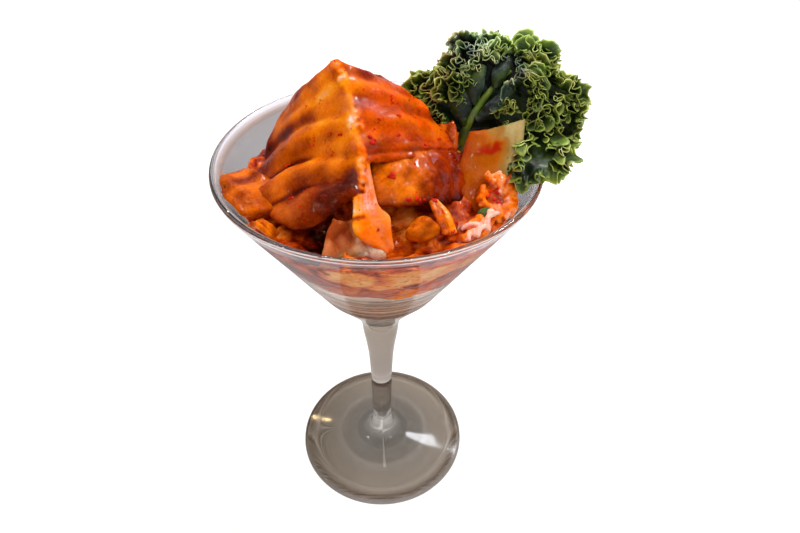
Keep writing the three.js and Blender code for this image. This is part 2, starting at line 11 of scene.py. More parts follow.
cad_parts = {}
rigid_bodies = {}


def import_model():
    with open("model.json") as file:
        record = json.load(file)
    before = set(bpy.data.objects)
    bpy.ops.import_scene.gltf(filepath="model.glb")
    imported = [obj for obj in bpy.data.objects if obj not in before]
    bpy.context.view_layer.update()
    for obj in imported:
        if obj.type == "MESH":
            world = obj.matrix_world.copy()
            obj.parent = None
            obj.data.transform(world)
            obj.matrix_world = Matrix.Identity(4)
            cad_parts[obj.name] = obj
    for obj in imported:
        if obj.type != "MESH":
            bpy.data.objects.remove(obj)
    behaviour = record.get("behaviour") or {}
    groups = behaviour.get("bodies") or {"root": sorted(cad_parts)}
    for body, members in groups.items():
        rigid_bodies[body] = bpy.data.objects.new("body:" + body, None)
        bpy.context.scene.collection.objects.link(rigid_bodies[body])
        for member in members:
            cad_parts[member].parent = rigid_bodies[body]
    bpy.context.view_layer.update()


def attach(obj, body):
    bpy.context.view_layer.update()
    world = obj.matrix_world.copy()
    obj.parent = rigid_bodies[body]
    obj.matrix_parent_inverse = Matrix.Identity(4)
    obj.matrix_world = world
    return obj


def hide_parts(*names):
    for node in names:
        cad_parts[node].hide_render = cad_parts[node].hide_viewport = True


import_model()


# ---- The glass
# A clear cocktail glass of soda-lime glass: a blown cone, a drawn stem and a pressed foot, fused into
# one piece. It is turned from one profile, with a fire-rounded bead for a rim and faint rings low in
# the cone, where the mould left them.

MM = 0.001  # metres
METRE = 1000  # millimetres
GLASS_HEIGHT = 160.7
RIM_RADIUS = 55
BEAD_RADIUS = 1.05
CONE_BASE_HEIGHT = 106
CONE_BASE_RADIUS = 23.6
CONE_SLOPE = (RIM_RADIUS - CONE_BASE_RADIUS) / (GLASS_HEIGHT - CONE_BASE_HEIGHT)
WALL_ACROSS = 1.6 * math.hypot(1, CONE_SLOPE)
STEM_RADIUS = 4.2
STEM_TOP = 76.5
BOWL_FLOOR = 92
FOOT_RADIUS = 38
GLASS_SIDES = 180
GLASS_IOR = 1.5
RING_HEIGHT = 116
RING_DEPTH = 0.09


def inner_radius(height):
    """Radius of the inside of the cone, in millimetres."""
    return CONE_BASE_RADIUS + CONE_SLOPE * (height - CONE_BASE_HEIGHT) - WALL_ACROSS


def between(before, start, stop, after, part):
    """The point at a part of the way from start to stop, on a smooth curve through four points."""
    lean_in, lean_out = (stop - before) / 2, (after - start) / 2
    return (start + lean_in * part + (3 * (stop - start) - 2 * lean_in - lean_out) * part ** 2
            + (2 * (start - stop) + lean_in + lean_out) * part ** 3)


def curve(points, places, run_on=True):
    """Points at places 0..1 on a smooth curve through the given ones."""
    given = np.asarray(points, float)
    first, last = (2 * given[0] - given[1], 2 * given[-1] - given[-2]) if run_on else (given[0], given[-1])
    ends = np.vstack([first, given, last])
    place = np.clip(places, 0, 1) * (len(given) - 1)
    span = np.minimum(place.astype(int), len(given) - 2)
    return between(*(ends[span + step] for step in range(4)), (place - span)[..., None])


def make_piece(name, points, faces, **marks):
    """A smooth mesh from points in millimetres. Each mark keeps one value a point for the material."""
    mesh = bpy.data.meshes.new(name)
    mesh.from_pydata((np.asarray(points) * MM).tolist(), [], [list(face) for face in faces])
    for mark, values in marks.items():
        layer = mesh.attributes.new(mark, "FLOAT", "POINT")
        layer.data.foreach_set("value", np.asarray(values, np.float32).ravel())
    shell = bmesh.new()
    shell.from_mesh(mesh)
    bmesh.ops.recalc_face_normals(shell, faces=shell.faces)
    shell.to_mesh(mesh)
    shell.free()
    mesh.shade_smooth()
    piece = bpy.data.objects.new(name, mesh)
    bpy.context.scene.collection.objects.link(piece)
    return piece


def all_round(count):
    """Angles in even steps through one full turn."""
    return np.arange(count) * 2 * np.pi / count


def turned(profile, sides):
    """Points and faces of a solid turned from a profile that starts and ends on the axis."""
    angles = all_round(sides)
    rings = profile[1:-1]
    points = np.stack([rings[:, :1] * np.cos(angles), rings[:, :1] * np.sin(angles),
                       np.repeat(rings[:, 1:], sides, 1)], -1).reshape(-1, 3)
    points = np.vstack([points, [0, 0, profile[0, 1]], [0, 0, profile[-1, 1]]])
    last = len(rings) - 1
    faces = []
    for side in range(sides):
        beside = (side + 1) % sides
        faces += [(ring * sides + side, ring * sides + beside, (ring + 1) * sides + beside,
                   (ring + 1) * sides + side) for ring in range(last)]
        faces.append((len(points) - 2, beside, side))
        faces.append((len(points) - 1, last * sides + side, last * sides + beside))
    return points, faces


def node(tree, kind, inputs=None, **settings):
    """A shader node with its settings made and its inputs set, or linked where a socket is given."""
    made = tree.nodes.new("ShaderNode" + kind)
    for setting, value in settings.items():
        setattr(made, setting, value)
    for socket, value in (inputs or {}).items():
        if isinstance(value, bpy.types.NodeSocket):
            tree.links.new(value, made.inputs[socket])
        else:
            made.inputs[socket].default_value = value
    return made


def new_material(name):
    material = bpy.data.materials.new(name)
    material.use_nodes = True
    material.node_tree.nodes.clear()
    return material, material.node_tree


def coordinates(tree, kind="Object"):
    return node(tree, "TexCoord").outputs[kind]


def sums(tree, operation, *terms, **settings):
    """The outcome of a sum on one or more values, such as ADD or MULTIPLY."""
    return node(tree, "Math", dict(enumerate(terms)), operation=operation, **settings).outputs[0]


def spread(tree, value, low, high, to_low=0.0, to_high=1.0, **settings):
    """A value that runs from low to high, laid out anew between two others."""
    return node(tree, "MapRange", {"Value": value, "From Min": low, "From Max": high, "To Min": to_low,
                                   "To Max": to_high}, **settings).outputs["Result"]


def noise(tree, place, scale, detail=2.0, **inputs):
    return node(tree, "TexNoise", {"Vector": place, "Scale": scale, "Detail": detail,
                                   **inputs}).outputs["Fac"]


def painted(tree, share, under, over, blend_type="MIX"):
    """One colour painted over another by its share."""
    return node(tree, "Mix", {"Factor": share, "A": under, "B": over}, data_type="RGBA",
                blend_type=blend_type).outputs[2]


def colour(red, green, blue):
    """A colour given as 0..255 values of a screen, as the linear colour that shaders use."""
    linear = [c / 12.92 if c < 0.04045 else ((c + 0.055) / 1.055) ** 2.4
              for c in (red / 255, green / 255, blue / 255)]
    return (*linear, 1)


def linear_colour(share, *others):
    """A linear colour from shares of red, green and blue, or a grey from one share."""
    return (share, *(others or (share, share)), 1)


def ramp(tree, value, stops, shade=colour):
    """A colour that changes with a value, by stops of (place, the parts of its colour)."""
    made = node(tree, "ValToRGB", {"Fac": value})
    elements = made.color_ramp.elements
    for place, *_ in stops[2:]:
        elements.new(place)
    for element, (place, *parts) in zip(sorted(elements, key=lambda e: e.position), sorted(stops)):
        element.position = place
        element.color = shade(*parts)
    return made.outputs["Color"]


def principled(tree, inputs):
    """The body of a material, from the inputs of its one shader."""
    body = node(tree, "BsdfPrincipled", inputs)
    node(tree, "OutputMaterial", {"Surface": body.outputs[0]})


def put_in(piece, material, cad_node):
    """Gives a piece its material and its place in the frame, where it stands for one solid."""
    piece.data.materials.append(material)
    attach(piece, "root")
    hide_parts(cad_node)


def glass_profile():
    """The outline of a cut through the glass, from the axis under the foot to the axis in the cone."""
    outer_foot = [[FOOT_RADIUS - 0.6, 2.9], [24, 4.6], [12, 7.2], [7, 9.5], [5, 13], [STEM_RADIUS, 18]]
    stem = [[STEM_RADIUS, 18], [4.56, 41.5], [5.36, 61.5], [7.2, STEM_TOP]]
    shoulder = [[7.2, STEM_TOP], [8.5, 84.5], [13.9, 93.4], [CONE_BASE_RADIUS, CONE_BASE_HEIGHT]]
    cup = [[inner_radius(CONE_BASE_HEIGHT), CONE_BASE_HEIGHT], [13, 97], [6.5, 93], [0, BOWL_FLOOR]]
    sole = [[0, 0], [FOOT_RADIUS - 1.2, 0], [FOOT_RADIUS - 0.35, 0.4], [FOOT_RADIUS, 1.3],
            [FOOT_RADIUS - 0.1, 2.3]]
    turn = np.linspace(0, np.pi, 15)
    bead = np.stack([RIM_RADIUS - BEAD_RADIUS + BEAD_RADIUS * np.cos(turn),
                     GLASS_HEIGHT - BEAD_RADIUS + BEAD_RADIUS * np.sin(turn)], -1)
    rise = np.linspace(0, 1, 60)[1:-1, None]
    cone_top = np.array([RIM_RADIUS - 0.45, GLASS_HEIGHT - 2.2])
    outer_cone = np.array(shoulder[-1]) * (1 - rise) + cone_top * rise
    rings = np.exp(-((outer_cone[:, 1] - RING_HEIGHT) / 12) ** 2) * np.sin(outer_cone[:, 1] * 2.1)
    outer_cone[:, 0] += RING_DEPTH * rings
    foot_skin, stem_skin, shoulder_skin, cup_skin = (
        curve(line, np.linspace(0, 1, count), False)
        for line, count in ((outer_foot, 48), (stem, 24), (shoulder, 30), (cup, 28)))
    return np.vstack([sole, foot_skin, stem_skin[1:], shoulder_skin[1:], outer_cone, cone_top, bead,
                      cup_skin])


glass_material, tree = new_material("clear_glass")
place = coordinates(tree)
axes = node(tree, "SeparateXYZ", {"Vector": place}).outputs
height_share = spread(tree, axes["Z"], 0.0, 0.16)
# Painted shade: the clear glass is tinted grey by height, darker low on the foot and from the upper stem to
# the shoulder, in place of dark surroundings seen through it.
grey_shade_by_height = ramp(tree, height_share, [
    (0.0, 180, 174, 166), (0.11, 230, 228, 226), (0.24, 234, 232, 230), (0.3, 186, 180, 176),
    (0.5, 186, 178, 170), (0.62, 240, 232, 226), (0.78, 253, 249, 246), (0.95, 253, 250, 248),
    (1.0, 240, 236, 234)])
# Painted reflection: a grey haze over the front of the cone, 120 to 145 mm up, in place of a bright
# reflection across it.
painted_haze = sums(tree, "MULTIPLY", spread(tree, axes["Y"], -0.04, -0.015), spread(tree, axes["Z"], 0.12, 0.145))
haze_painted = painted(tree, painted_haze, grey_shade_by_height, colour(196, 195, 197))
# Painted light and shade at the rim: a dark line just under the bead and a bluish-white sheen on the bead, in
# place of reflections.
lip = spread(tree, axes["Z"], 0.153, 0.161)
painted_rim_line = ramp(tree, lip, [(0.0, 252, 246, 240), (0.4, 248, 238, 228), (0.52, 190, 164, 150),
                            (0.62, 206, 192, 186), (0.72, 234, 234, 240), (1.0, 240, 242, 248)])
beaded = painted(tree, spread(tree, lip, 0.5, 0.58), haze_painted, painted_rim_line)
flat = node(tree, "VectorMath", {0: place, 1: (1, 1, 0)}, operation="MULTIPLY").outputs[0]
radius = node(tree, "VectorMath", {0: flat}, operation="LENGTH").outputs["Value"]
low = spread(tree, axes["Z"], 0.012, 0.008)
# Painted light and shade on the foot: over its radius the tint has a lighter ring round the hub, a dark ring
# near the edge and a light edge, in place of what it reflects and refracts.
pressed = ramp(tree, spread(tree, radius, 0.0, MM * FOOT_RADIUS), [
    (0.0, 148, 144, 140), (0.4, 152, 147, 142), (0.5, 160, 153, 146), (0.54, 178, 172, 167),
    (0.6, 172, 164, 156), (0.86, 181, 172, 163), (0.93, 136, 122, 110), (1.0, 196, 190, 186)])
# Painted shade: the foot is darker towards its left.
shaded = painted(tree, spread(tree, axes["X"], -0.008, -0.034, 0.0, 0.7), pressed, colour(138, 126, 114))
tint = painted(tree, low, beaded, shaded)
smear = spread(tree, noise(tree, place, 60, 3), 0.45, 0.75, 0.0, 0.06)
through = node(tree, "BsdfRefraction", {"Color": tint, "Roughness": smear, "IOR": GLASS_IOR})
shine = ramp(tree, height_share, [
    (0.0, 0.2, 0.2, 0.21), (0.2, 0.5, 0.49, 0.48), (0.6, 0.5, 0.49, 0.48), (0.68, 0.22, 0.22, 0.23),
    (0.96, 0.22, 0.22, 0.23), (0.995, 0.8, 0.82, 0.88)], linear_colour)
inside = node(tree, "NewGeometry").outputs["Backfacing"]
gleam = painted(tree, inside, shine, (0.92, 0.91, 0.9, 1))
polish = spread(tree, low, 0.0, 1.0, 0.02, 0.07)
mirror = node(tree, "BsdfAnisotropic", {"Color": gleam, "Roughness": polish})
share = node(tree, "Fresnel", {"IOR": GLASS_IOR}).outputs[0]
body = node(tree, "MixShader", {0: share, 1: through.outputs[0], 2: mirror.outputs[0]})
# Painted highlight: a diffuse layer in fine horizontal streaks, mostly low in the cone and a little at the
# rim, paler towards both sides, in place of streaks of light that the cone reflects.
rings = node(tree, "TexNoise", {"W": axes["Z"], "Scale": 700, "Detail": 3},
             noise_dimensions="1D").outputs["Fac"]
streak_heights = ramp(tree, height_share, [(0.0, 0.0), (0.63, 0.0), (0.67, 0.62), (0.76, 0.5), (0.81, 0.2),
                                   (0.85, 0.02), (0.97, 0.02), (1.0, 0.12)], linear_colour)
painted_streak_share = sums(tree, "MULTIPLY", spread(tree, rings, 0.46, 0.62, 0.06, 1.0), streak_heights)
aside = sums(tree, "ABSOLUTE", axes["X"])
painted_streak_colour = painted(tree, spread(tree, aside, 0.008, 0.02), colour(196, 158, 136), colour(236, 222, 214))
film = node(tree, "BsdfDiffuse", {"Color": painted_streak_colour})
body = node(tree, "MixShader", {0: painted_streak_share, 1: body.outputs[0], 2: film.outputs[0]})
clear = node(tree, "BsdfTransparent", {"Color": (0.93, 0.93, 0.92, 1)})
rays = node(tree, "LightPath").outputs
passing = sums(tree, "MAXIMUM", rays["Is Shadow Ray"], rays["Is Diffuse Ray"])
mixed = node(tree, "MixShader", {0: passing, 1: body.outputs[0], 2: clear.outputs[0]})
node(tree, "OutputMaterial", {"Surface": mixed.outputs[0]})

put_in(make_piece("served_glass", *turned(glass_profile(), GLASS_SIDES)), glass_material, "cocktail_glass")


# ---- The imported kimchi
# Salted napa cabbage, cut and pressed into the cone in its red chili sauce: a mound with scraps and
# shreds melted into its top, and paler pieces showing where they are pressed flat on the glass. It
# stands a little off the wall only at the front left.

BED_RIM = 150.5
BED_TOP = 178
BED_FLOOR = 120
BED_SIDES = 150
SCRAPS = 90
PRESSED_PIECES = 150
WALL_PIECES = [(-101.5, 147.5, 10.5, 6.5), (-75, 148, 14, 8)]  # angle, height, half width, half height


def smooth_step(low, high, value):
    """A smooth rise from 0 at low to 1 at high, which may be the lesser of the two."""
    share = np.clip((value - low) / (high - low), 0, 1)
    return share * share * (3 - 2 * share)


def band(value, middle, width):
    """A soft band of that width round a value."""
    return np.exp(-((value - middle) / width) ** 2)


def unit(vectors):
    return vectors / np.maximum(np.linalg.norm(vectors, axis=-1, keepdims=True), 1e-9)


def waves(points, size, seed, count=9):
    """Smooth uneven waves of about that size in millimetres, from -1 to 1, at points in space."""
    draw = np.random.default_rng(seed)
    total = np.zeros(points.shape[:-1])
    for _ in range(count):
        heading = unit(draw.normal(size=3)) * 2 * np.pi / size * draw.uniform(0.7, 1.4)
        total += np.sin(points @ heading + draw.uniform(0, 2 * np.pi))
    return total / math.sqrt(count * 1.3)


def grid_faces(rows, columns):
    """Faces of a grid of points kept row by row, closed round along each row."""
    return [(row * columns + column, (row + 1) * columns + column,
             (row + 1) * columns + (column + 1) % columns, row * columns + (column + 1) % columns)
            for row in range(rows - 1) for column in range(columns)]


def capped(rings, tones):
    """Points, faces and tones of a closed body from rings of points, with its two ends fanned shut."""
    rows, sides = rings.shape[:2]
    points = np.vstack([rings.reshape(-1, 3), rings[0].mean(0), rings[-1].mean(0)])
    faces = grid_faces(rows, sides)
    for side in range(sides):
        beside = (side + 1) % sides
        faces.append((rows * sides, side, beside))
        faces.append((rows * sides + 1, (rows - 1) * sides + beside, (rows - 1) * sides + side))
    return points, faces, np.append(tones.ravel(), [tones[0].mean(), tones[-1].mean()])


def strip(path, widths, side, arch=0.0, ripple=0.0):
    """A surface along a path, arched across and rippled along, with its width at even stations."""
    def surface(u, v):
        ahead = unit(curve(path, np.minimum(v + 0.02, 1)) - curve(path, np.maximum(v - 0.02, 0)))
        sideways = unit(np.array(side, float) - ahead * (ahead @ np.array(side, float))[..., None])
        up = np.cross(sideways, ahead)
        width = curve(np.array(widths, float)[:, None], v)[..., 0]
        bow = arch * (1 - (2 * u - 1) ** 2) + ripple * np.sin(4 * np.pi * v + 2 * u)
        return curve(path, v) + sideways * ((u - 0.5) * width)[..., None] + up * bow[..., None]
    return surface


def leaf(surface, across, along, thickness, relief=None, tone=None):
    """Points, faces and tones of a thin closed leaf over surface(u, v), with a rounded border.

    relief(u, v, points) moves both faces out together; tone(u, v, points) is the colour's place.
    """
    u, v = np.meshgrid(np.linspace(0, 1, across + 1), np.linspace(0, 1, along + 1), indexing="ij")
    middle = surface(u, v)
    normals = unit(np.cross(np.gradient(middle, axis=0), np.gradient(middle, axis=1)))
    if relief is not None:
        middle = middle + normals * relief(u, v, middle)[..., None]
        normals = unit(np.cross(np.gradient(middle, axis=0), np.gradient(middle, axis=1)))
    width = np.linalg.norm(np.diff(middle, axis=0), axis=-1).sum(0).mean()
    length = np.linalg.norm(np.diff(middle, axis=1), axis=-1).sum(1).mean()
    near = np.minimum(np.minimum(u, 1 - u) * width, np.minimum(v, 1 - v) * length) / (0.7 * thickness)
    half = thickness / 2 * np.sqrt(1 - (1 - np.clip(near, 0, 1)) ** 2)
    count = u.size
    border = (u == 0) | (u == 1) | (v == 0) | (v == 1)
    index = np.arange(count).reshape(u.shape)
    under = np.where(border, index, -1)
    under[~border] = count + np.arange((~border).sum())
    top = (middle + normals * half[..., None]).reshape(-1, 3)
    bottom = (middle - normals * half[..., None])[~border]
    faces = [tuple(quad) for quad in np.stack(
        [index[:-1, :-1], index[1:, :-1], index[1:, 1:], index[:-1, 1:]], -1).reshape(-1, 4).tolist()]
    faces += [tuple(quad) for quad in np.stack(
        [under[:-1, :-1], under[:-1, 1:], under[1:, 1:], under[1:, :-1]], -1).reshape(-1, 4).tolist()]
    tones = np.full(u.shape, 0.6) if tone is None else tone(u, v, middle)
    return np.vstack([top, bottom]), faces, np.append(tones.ravel(), tones[~border])


def turned_by(angles):
    """The turn by the first of the angles about X, the second about Y and the third about Z."""
    return np.array(Matrix.Rotation(angles[0], 3, "X") @ Matrix.Rotation(angles[1], 3, "Y")
                    @ Matrix.Rotation(angles[2], 3, "Z"))


def chunk(centre, radii, turn, lumps=0.12, phase=0.0, base=0.5, steps=26):
    """A rounded chunk with low lumps."""
    polar, round_angle = np.meshgrid(np.linspace(0.04, np.pi - 0.04, steps), all_round(2 * steps),
                                     indexing="ij")
    ball = np.stack([np.sin(polar) * np.cos(round_angle), np.sin(polar) * np.sin(round_angle),
                     np.cos(polar)], -1)
    bump = (np.sin(3.1 * ball[..., 0] + phase) * np.sin(2.7 * ball[..., 1] + 2 * phase)
            + 0.6 * np.sin(4.3 * ball[..., 2] + 3 * phase))
    shape = ball * (1 + lumps * bump)[..., None] * np.array(radii, float)
    points = shape @ turned_by(turn).T + np.array(centre, float)
    return capped(points, base + 0.08 * waves(points, 3, int(10 * phase) + 5))


def joined(parts):
    """One set of points, faces and tones from several."""
    points, faces, tones, start = [], [], [], 0
    for part_points, part_faces, part_tones in parts:
        faces += [tuple(corner + start for corner in face) for face in part_faces]
        points.append(part_points)
        tones.append(part_tones)
        start += len(part_points)
    return np.vstack(points), faces, np.concatenate(tones)


def blended(parts, voxel, rounds=3):
    """One closed skin over overlapping parts, melted together where they meet: its points, faces,
    tones and normals."""
    points, faces, tones = joined(parts)
    rough = make_piece("rough", points, faces)
    skin = rough.modifiers.new("skin", "REMESH")
    skin.mode = "VOXEL"
    skin.voxel_size = voxel * MM
    soften = rough.modifiers.new("soften", "SMOOTH")
    soften.factor = 0.5
    soften.iterations = rounds
    mesh = bpy.data.meshes.new_from_object(rough.evaluated_get(bpy.context.evaluated_depsgraph_get()))
    bpy.data.objects.remove(rough)
    nearby = KDTree(len(points))
    for index, point in enumerate(points):
        nearby.insert(point, index)
    nearby.balance()
    places, normals = np.empty((2, len(mesh.vertices) * 3))
    mesh.vertices.foreach_get("co", places)
    mesh.vertex_normals.foreach_get("vector", normals)
    places = places.reshape(-1, 3) * METRE
    near = [[index for _, index, _ in nearby.find_n(place, 4)] for place in places]
    faces = [tuple(face.vertices) for face in mesh.polygons]
    bpy.data.meshes.remove(mesh)
    return places, faces, tones[np.array(near)].mean(1), normals.reshape(-1, 3)


def bump(tree, height, strength, distance, **inputs):
    return node(tree, "Bump", {"Height": height, "Strength": strength, "Distance": distance,
                               **inputs}).outputs["Normal"]


def mark(tree, name):
    """The values of one of a piece's marks."""
    return node(tree, "Attribute", attribute_name=name).outputs["Fac"]


def wet_flesh(name, stops, mottle=0.1, flecks=0.05, glow=0.35, depth=0.0035, wrinkle=0.0001, gloss=0.22,
              wet=0.2):
    """Wet translucent cabbage. The mark "tone" picks its colour, from deep sauce at 0 to pale rib at 1,
    the mark "red" adds chili red. The film of juice lies in spots, more of it at the mark "wet"."""
    material, tree = new_material(name)
    place = coordinates(tree)
    clouds = noise(tree, place, 150, 4, Roughness=0.6)
    grains = noise(tree, place, 1300, 3)
    drift = spread(tree, clouds, 0.3, 0.7, -mottle, mottle, clamp=False)
    speck = spread(tree, grains, 0.3, 0.7, -mottle / 2, mottle / 2, clamp=False)
    flesh = ramp(tree, sums(tree, "ADD", sums(tree, "ADD", mark(tree, "tone"), drift), speck), stops)
    spots = noise(tree, place, 430, 2, Distortion=0.6)
    dyed = spread(tree, spots, 0.72 - flecks, 0.78 - flecks, 0.0, 0.6)
    warmed = painted(tree, mark(tree, "red"), flesh, colour(246, 186, 172), "MULTIPLY")
    skin = painted(tree, dyed, warmed, colour(150, 20, 3))
    juice = spread(tree, noise(tree, place, 210, 3), 0.44, 0.58, 0.08 * wet, 1.2 * wet)
    soaked = sums(tree, "MULTIPLY_ADD", mark(tree, "wet"), 4.5, 1.0)
    juice = sums(tree, "MULTIPLY", juice, soaked, use_clamp=True)
    folds = noise(tree, place, 380, 4, Roughness=0.55)
    rough = spread(tree, clouds, 0.3, 0.7, gloss, gloss + 0.22)
    film = bump(tree, noise(tree, place, 300), 1.0, 0.0007)
    fine = bump(tree, grains, 0.4, wrinkle / 2, Normal=bump(tree, folds, 0.8, wrinkle))
    principled(tree, {
        "Base Color": skin, "Roughness": rough, "IOR": 1.38, "Normal": fine,
        "Specular IOR Level": 0.1, "Specular Tint": colour(255, 140, 30), "Subsurface Weight": glow,
        "Subsurface Radius": (1.0, 0.35, 0.1), "Subsurface Scale": depth, "Coat Weight": juice,
        "Coat Roughness": 0.03, "Coat IOR": 1.36, "Coat Normal": film})
    return material


sauce_red = wet_flesh("seasoned_cabbage", [
    (0.0, 44, 5, 1), (0.2, 126, 26, 2), (0.4, 184, 62, 4), (0.6, 226, 104, 16), (0.8, 244, 146, 56),
    (1.0, 255, 190, 112)], mottle=0.14, flecks=0.1, glow=0.3, wrinkle=0.0003, wet=0.28)


def edge_height(angle):
    """Height of the mound at the wall, a little more at the front."""
    return BED_RIM + 3.4 * np.maximum(0, np.cos(angle + np.pi / 2)) ** 4


def bed_height(x, y):
    """Height of the mound's top, without its fine folds."""
    peak = np.exp(-((x + 6) / 17) ** 2 - ((y - 2) / 16) ** 2)
    right = np.exp(-((x - 22) / 16) ** 2 - ((y + 6) / 16) ** 2)
    hollow = np.exp(-((x + 15) / 7) ** 2 - ((y + 34) / 6) ** 2)
    lumps = 0.5 * np.sin(0.55 * x + 1) * np.sin(0.6 * y) + 0.4 * np.sin(0.9 * x - 0.7 * y)
    heaped = (edge_height(np.arctan2(y, x)) - BED_RIM) * smooth_step(39, 47, np.hypot(x, y))
    return BED_RIM + (BED_TOP - BED_RIM) * peak + 5 * right - 4 * hollow + lumps + heaped


def set_back(angle):
    """How far the mound stands off the wall: pressed just into it, and just off it at the front left."""
    return -0.3 + 0.5 * np.maximum(0, np.cos(angle - 1.25 * np.pi)) ** 3


def bed_low(angle):
    """Height at which the mound leaves the wall and turns in to its floor."""
    return BED_FLOOR + 11 + 5 * np.cos(angle - 0.9 * np.pi) + np.sin(4 * angle) + 1.2 * np.sin(11 * angle + 1)


def bed_core():
    """The mound's rings from the middle of the top, over the wall and in to the middle of the floor."""
    angle = all_round(BED_SIDES)
    rings = []
    for share in np.linspace(0.01, 1, 60):
        reach = share * (inner_radius(edge_height(angle)) - 0.6 - set_back(angle))
        x, y = reach * np.cos(angle), reach * np.sin(angle)
        rings.append(np.stack([x, y, bed_height(x, y)], -1))
    for share in np.linspace(0, 1, 34):
        z = (edge_height(angle) - 1.2) * (1 - share) + bed_low(angle) * share
        reach = inner_radius(z) - set_back(angle)
        rings.append(np.stack([reach * np.cos(angle), reach * np.sin(angle), z], -1))
    for share in np.linspace(0, 1, 18)[1:]:
        z = bed_low(angle) - 3 * np.sin(share * np.pi / 2) + 1.2 * np.sin(6 * angle) * share * (1 - share)
        reach = (inner_radius(bed_low(angle)) - set_back(angle)) * (1 - share) + 0.05
        rings.append(np.stack([reach * np.cos(angle), reach * np.sin(angle), z], -1))
    rings = np.array(rings)
    return capped(rings, np.full(rings.shape[:2], 0.3))


def scrap(draw):
    """A small leaf scrap, shred or chunk, half sunk in the top of the mound."""
    angle, reach = draw.uniform(0, 2 * np.pi), 44 * math.sqrt(draw.uniform(0.05, 1))
    x, y = reach * math.cos(angle), reach * math.sin(angle)
    middle = np.array([x, y, bed_height(x, y) - 0.3])
    middle[:2] *= min(1, (inner_radius(middle[2]) - 5 - set_back(angle)) / max(reach, 1))
    tone = draw.uniform(0.25, 0.7)
    if draw.random() < 0.35:
        return chunk(middle, draw.uniform(1.8, 4, 3), draw.uniform(-1, 1, 3), phase=draw.uniform(0, 6),
                     base=tone, steps=14)
    heading = draw.uniform(0, 2 * np.pi)
    ahead = np.array([math.cos(heading), math.sin(heading), draw.uniform(-0.35, 0.35)]) * draw.uniform(3, 7)
    across = np.array([-math.sin(heading), math.cos(heading), draw.uniform(-0.8, 0.8)])
    path = [middle - ahead, middle + [0, 0, draw.uniform(0.3, 1.6)], middle + ahead]
    path = [point - [0, 0, 0.3] for point in path]
    return leaf(strip(path, draw.uniform(2.5, 7, 3), across, arch=draw.uniform(0.3, 1.5)), 12, 20, 1.5, None,
                lambda u, v, points: tone + 0.1 * waves(points, 4, 6))


def pressed_tone(points):
    """Tones of the pieces pressed on the glass: flat patches with dark sauce in the joints."""
    draw = np.random.default_rng(31)
    seeds = np.stack([draw.uniform(0, 2 * np.pi, PRESSED_PIECES),
                      draw.uniform(BED_FLOOR, BED_RIM + 8, PRESSED_PIECES)], -1)
    shades = draw.uniform(0.4, 0.88, PRESSED_PIECES)
    angle = np.arctan2(points[:, 1], points[:, 0])
    turn = np.abs((angle[:, None] - seeds[:, 0] + np.pi) % (2 * np.pi) - np.pi) * 36
    rise = np.abs(points[:, 2:] - seeds[:, 1] + 1.2 * waves(points, 9, 32)[:, None]) * 1.7
    away = np.hypot(turn, rise)
    order = np.argsort(away, 1)[:, :2]
    first, second = (np.take_along_axis(away, order[:, rank:rank + 1], 1)[:, 0] for rank in range(2))
    tone = shades[order[:, 0]] - 0.22 * np.exp(-(second - first) / 0.7)
    # Painted shade: the pressed pieces are darker at the front left, where the mound stands off the wall.
    tone = tone - 0.3 * band((angle + 2.35) % (2 * np.pi), 0, 0.35)
    for at, height, wide, high in WALL_PIECES:
        off = np.hypot((angle - math.radians(at)) / math.radians(wide), (points[:, 2] - height) / high)
        off = off + 0.12 * waves(points, 7, 34)
        paler = 0.9 + 0.1 * waves(points, 6, 35) + 0.05 * waves(points, 1.8, 36)
        tone = tone + (paler - tone) * smooth_step(1.1, 0.75, off) - 0.14 * band(off, 1.15, 0.12)
    return tone + 0.06 * waves(points, 2.5, 33)


draw = np.random.default_rng(7)
sauce_folds = [chunk([24, -17, 152.6], [8, 10, 3.6], (0.35, 0.2, 0.4), 0.1, base=0.2, phase=1.3),
               chunk([17, -31, 152.5], [7, 4, 3.4], (0.2, 0, 0.3), base=0.2, phase=2.1)]
scraps = [scrap(draw) for _ in range(SCRAPS)]
points, faces, tones, normals = blended([bed_core()] + sauce_folds + scraps, voxel=0.6)
folds = 0.22 * waves(points, 4, 2) + 0.1 * waves(points, 1.8, 3)
points = points + normals * folds[:, None]
angle, reach = np.arctan2(points[:, 1], points[:, 0]), np.hypot(points[:, 0], points[:, 1])
limit = inner_radius(points[:, 2]) - set_back(angle) + 0.05 * waves(points, 2, 8)
points[:, :2] *= np.minimum(1, limit / np.maximum(reach, 1))[:, None]
on_wall = smooth_step(1.2, 0.3, limit - reach) * smooth_step(1, -2, points[:, 2] - edge_height(angle))
front = smooth_step(-14, -30, points[:, 1]) * smooth_step(-6, 6, points[:, 0])
tones = tones + 0.1 * waves(points, 8, 4) + 0.5 * folds + 0.12 * front
# Painted shade: the mound is darker at the front left, and darkest in the hollow there under the left blade.
tones = tones - 0.08 * smooth_step(-12, -24, points[:, 0]) * smooth_step(-16, -26, points[:, 1])
tones = np.minimum(tones - 0.6 * band(np.hypot(points[:, 0] + 14, points[:, 1] + 30), 0, 5.5), 0.74)
tones = tones * (1 - on_wall) + pressed_tone(points) * on_wall
sauced = smooth_step(6, 14, points[:, 0]) * smooth_step(-4, -12, points[:, 1])
put_in(make_piece("packed_kimchi", points, faces, tone=tones, wet=(0.7 * sauced + 0.2) * (1 - on_wall)),
       sauce_red, "kimchi_bed")


# ---- The big folded leaf
# A whole inner leaf bent over its midrib like a tent, its two blades hanging left and right and the
# cut end of the stalk coming down in front. The rib along the top is bare, wet and lumpy, with pale
# patches that are partly its own colour and partly painted highlight. Sauce lies dark in the furrows
# between the veins, deepened by painted shade, and painted light lies along the crests of the folds.

leaf_orange = wet_flesh("cabbage_leaf", [
    (0.0, 66, 8, 2), (0.2, 122, 35, 2), (0.4, 178, 77, 3), (0.6, 226, 112, 4), (0.76, 246, 148, 16),
    (0.9, 242, 166, 108), (1.0, 252, 216, 204)])


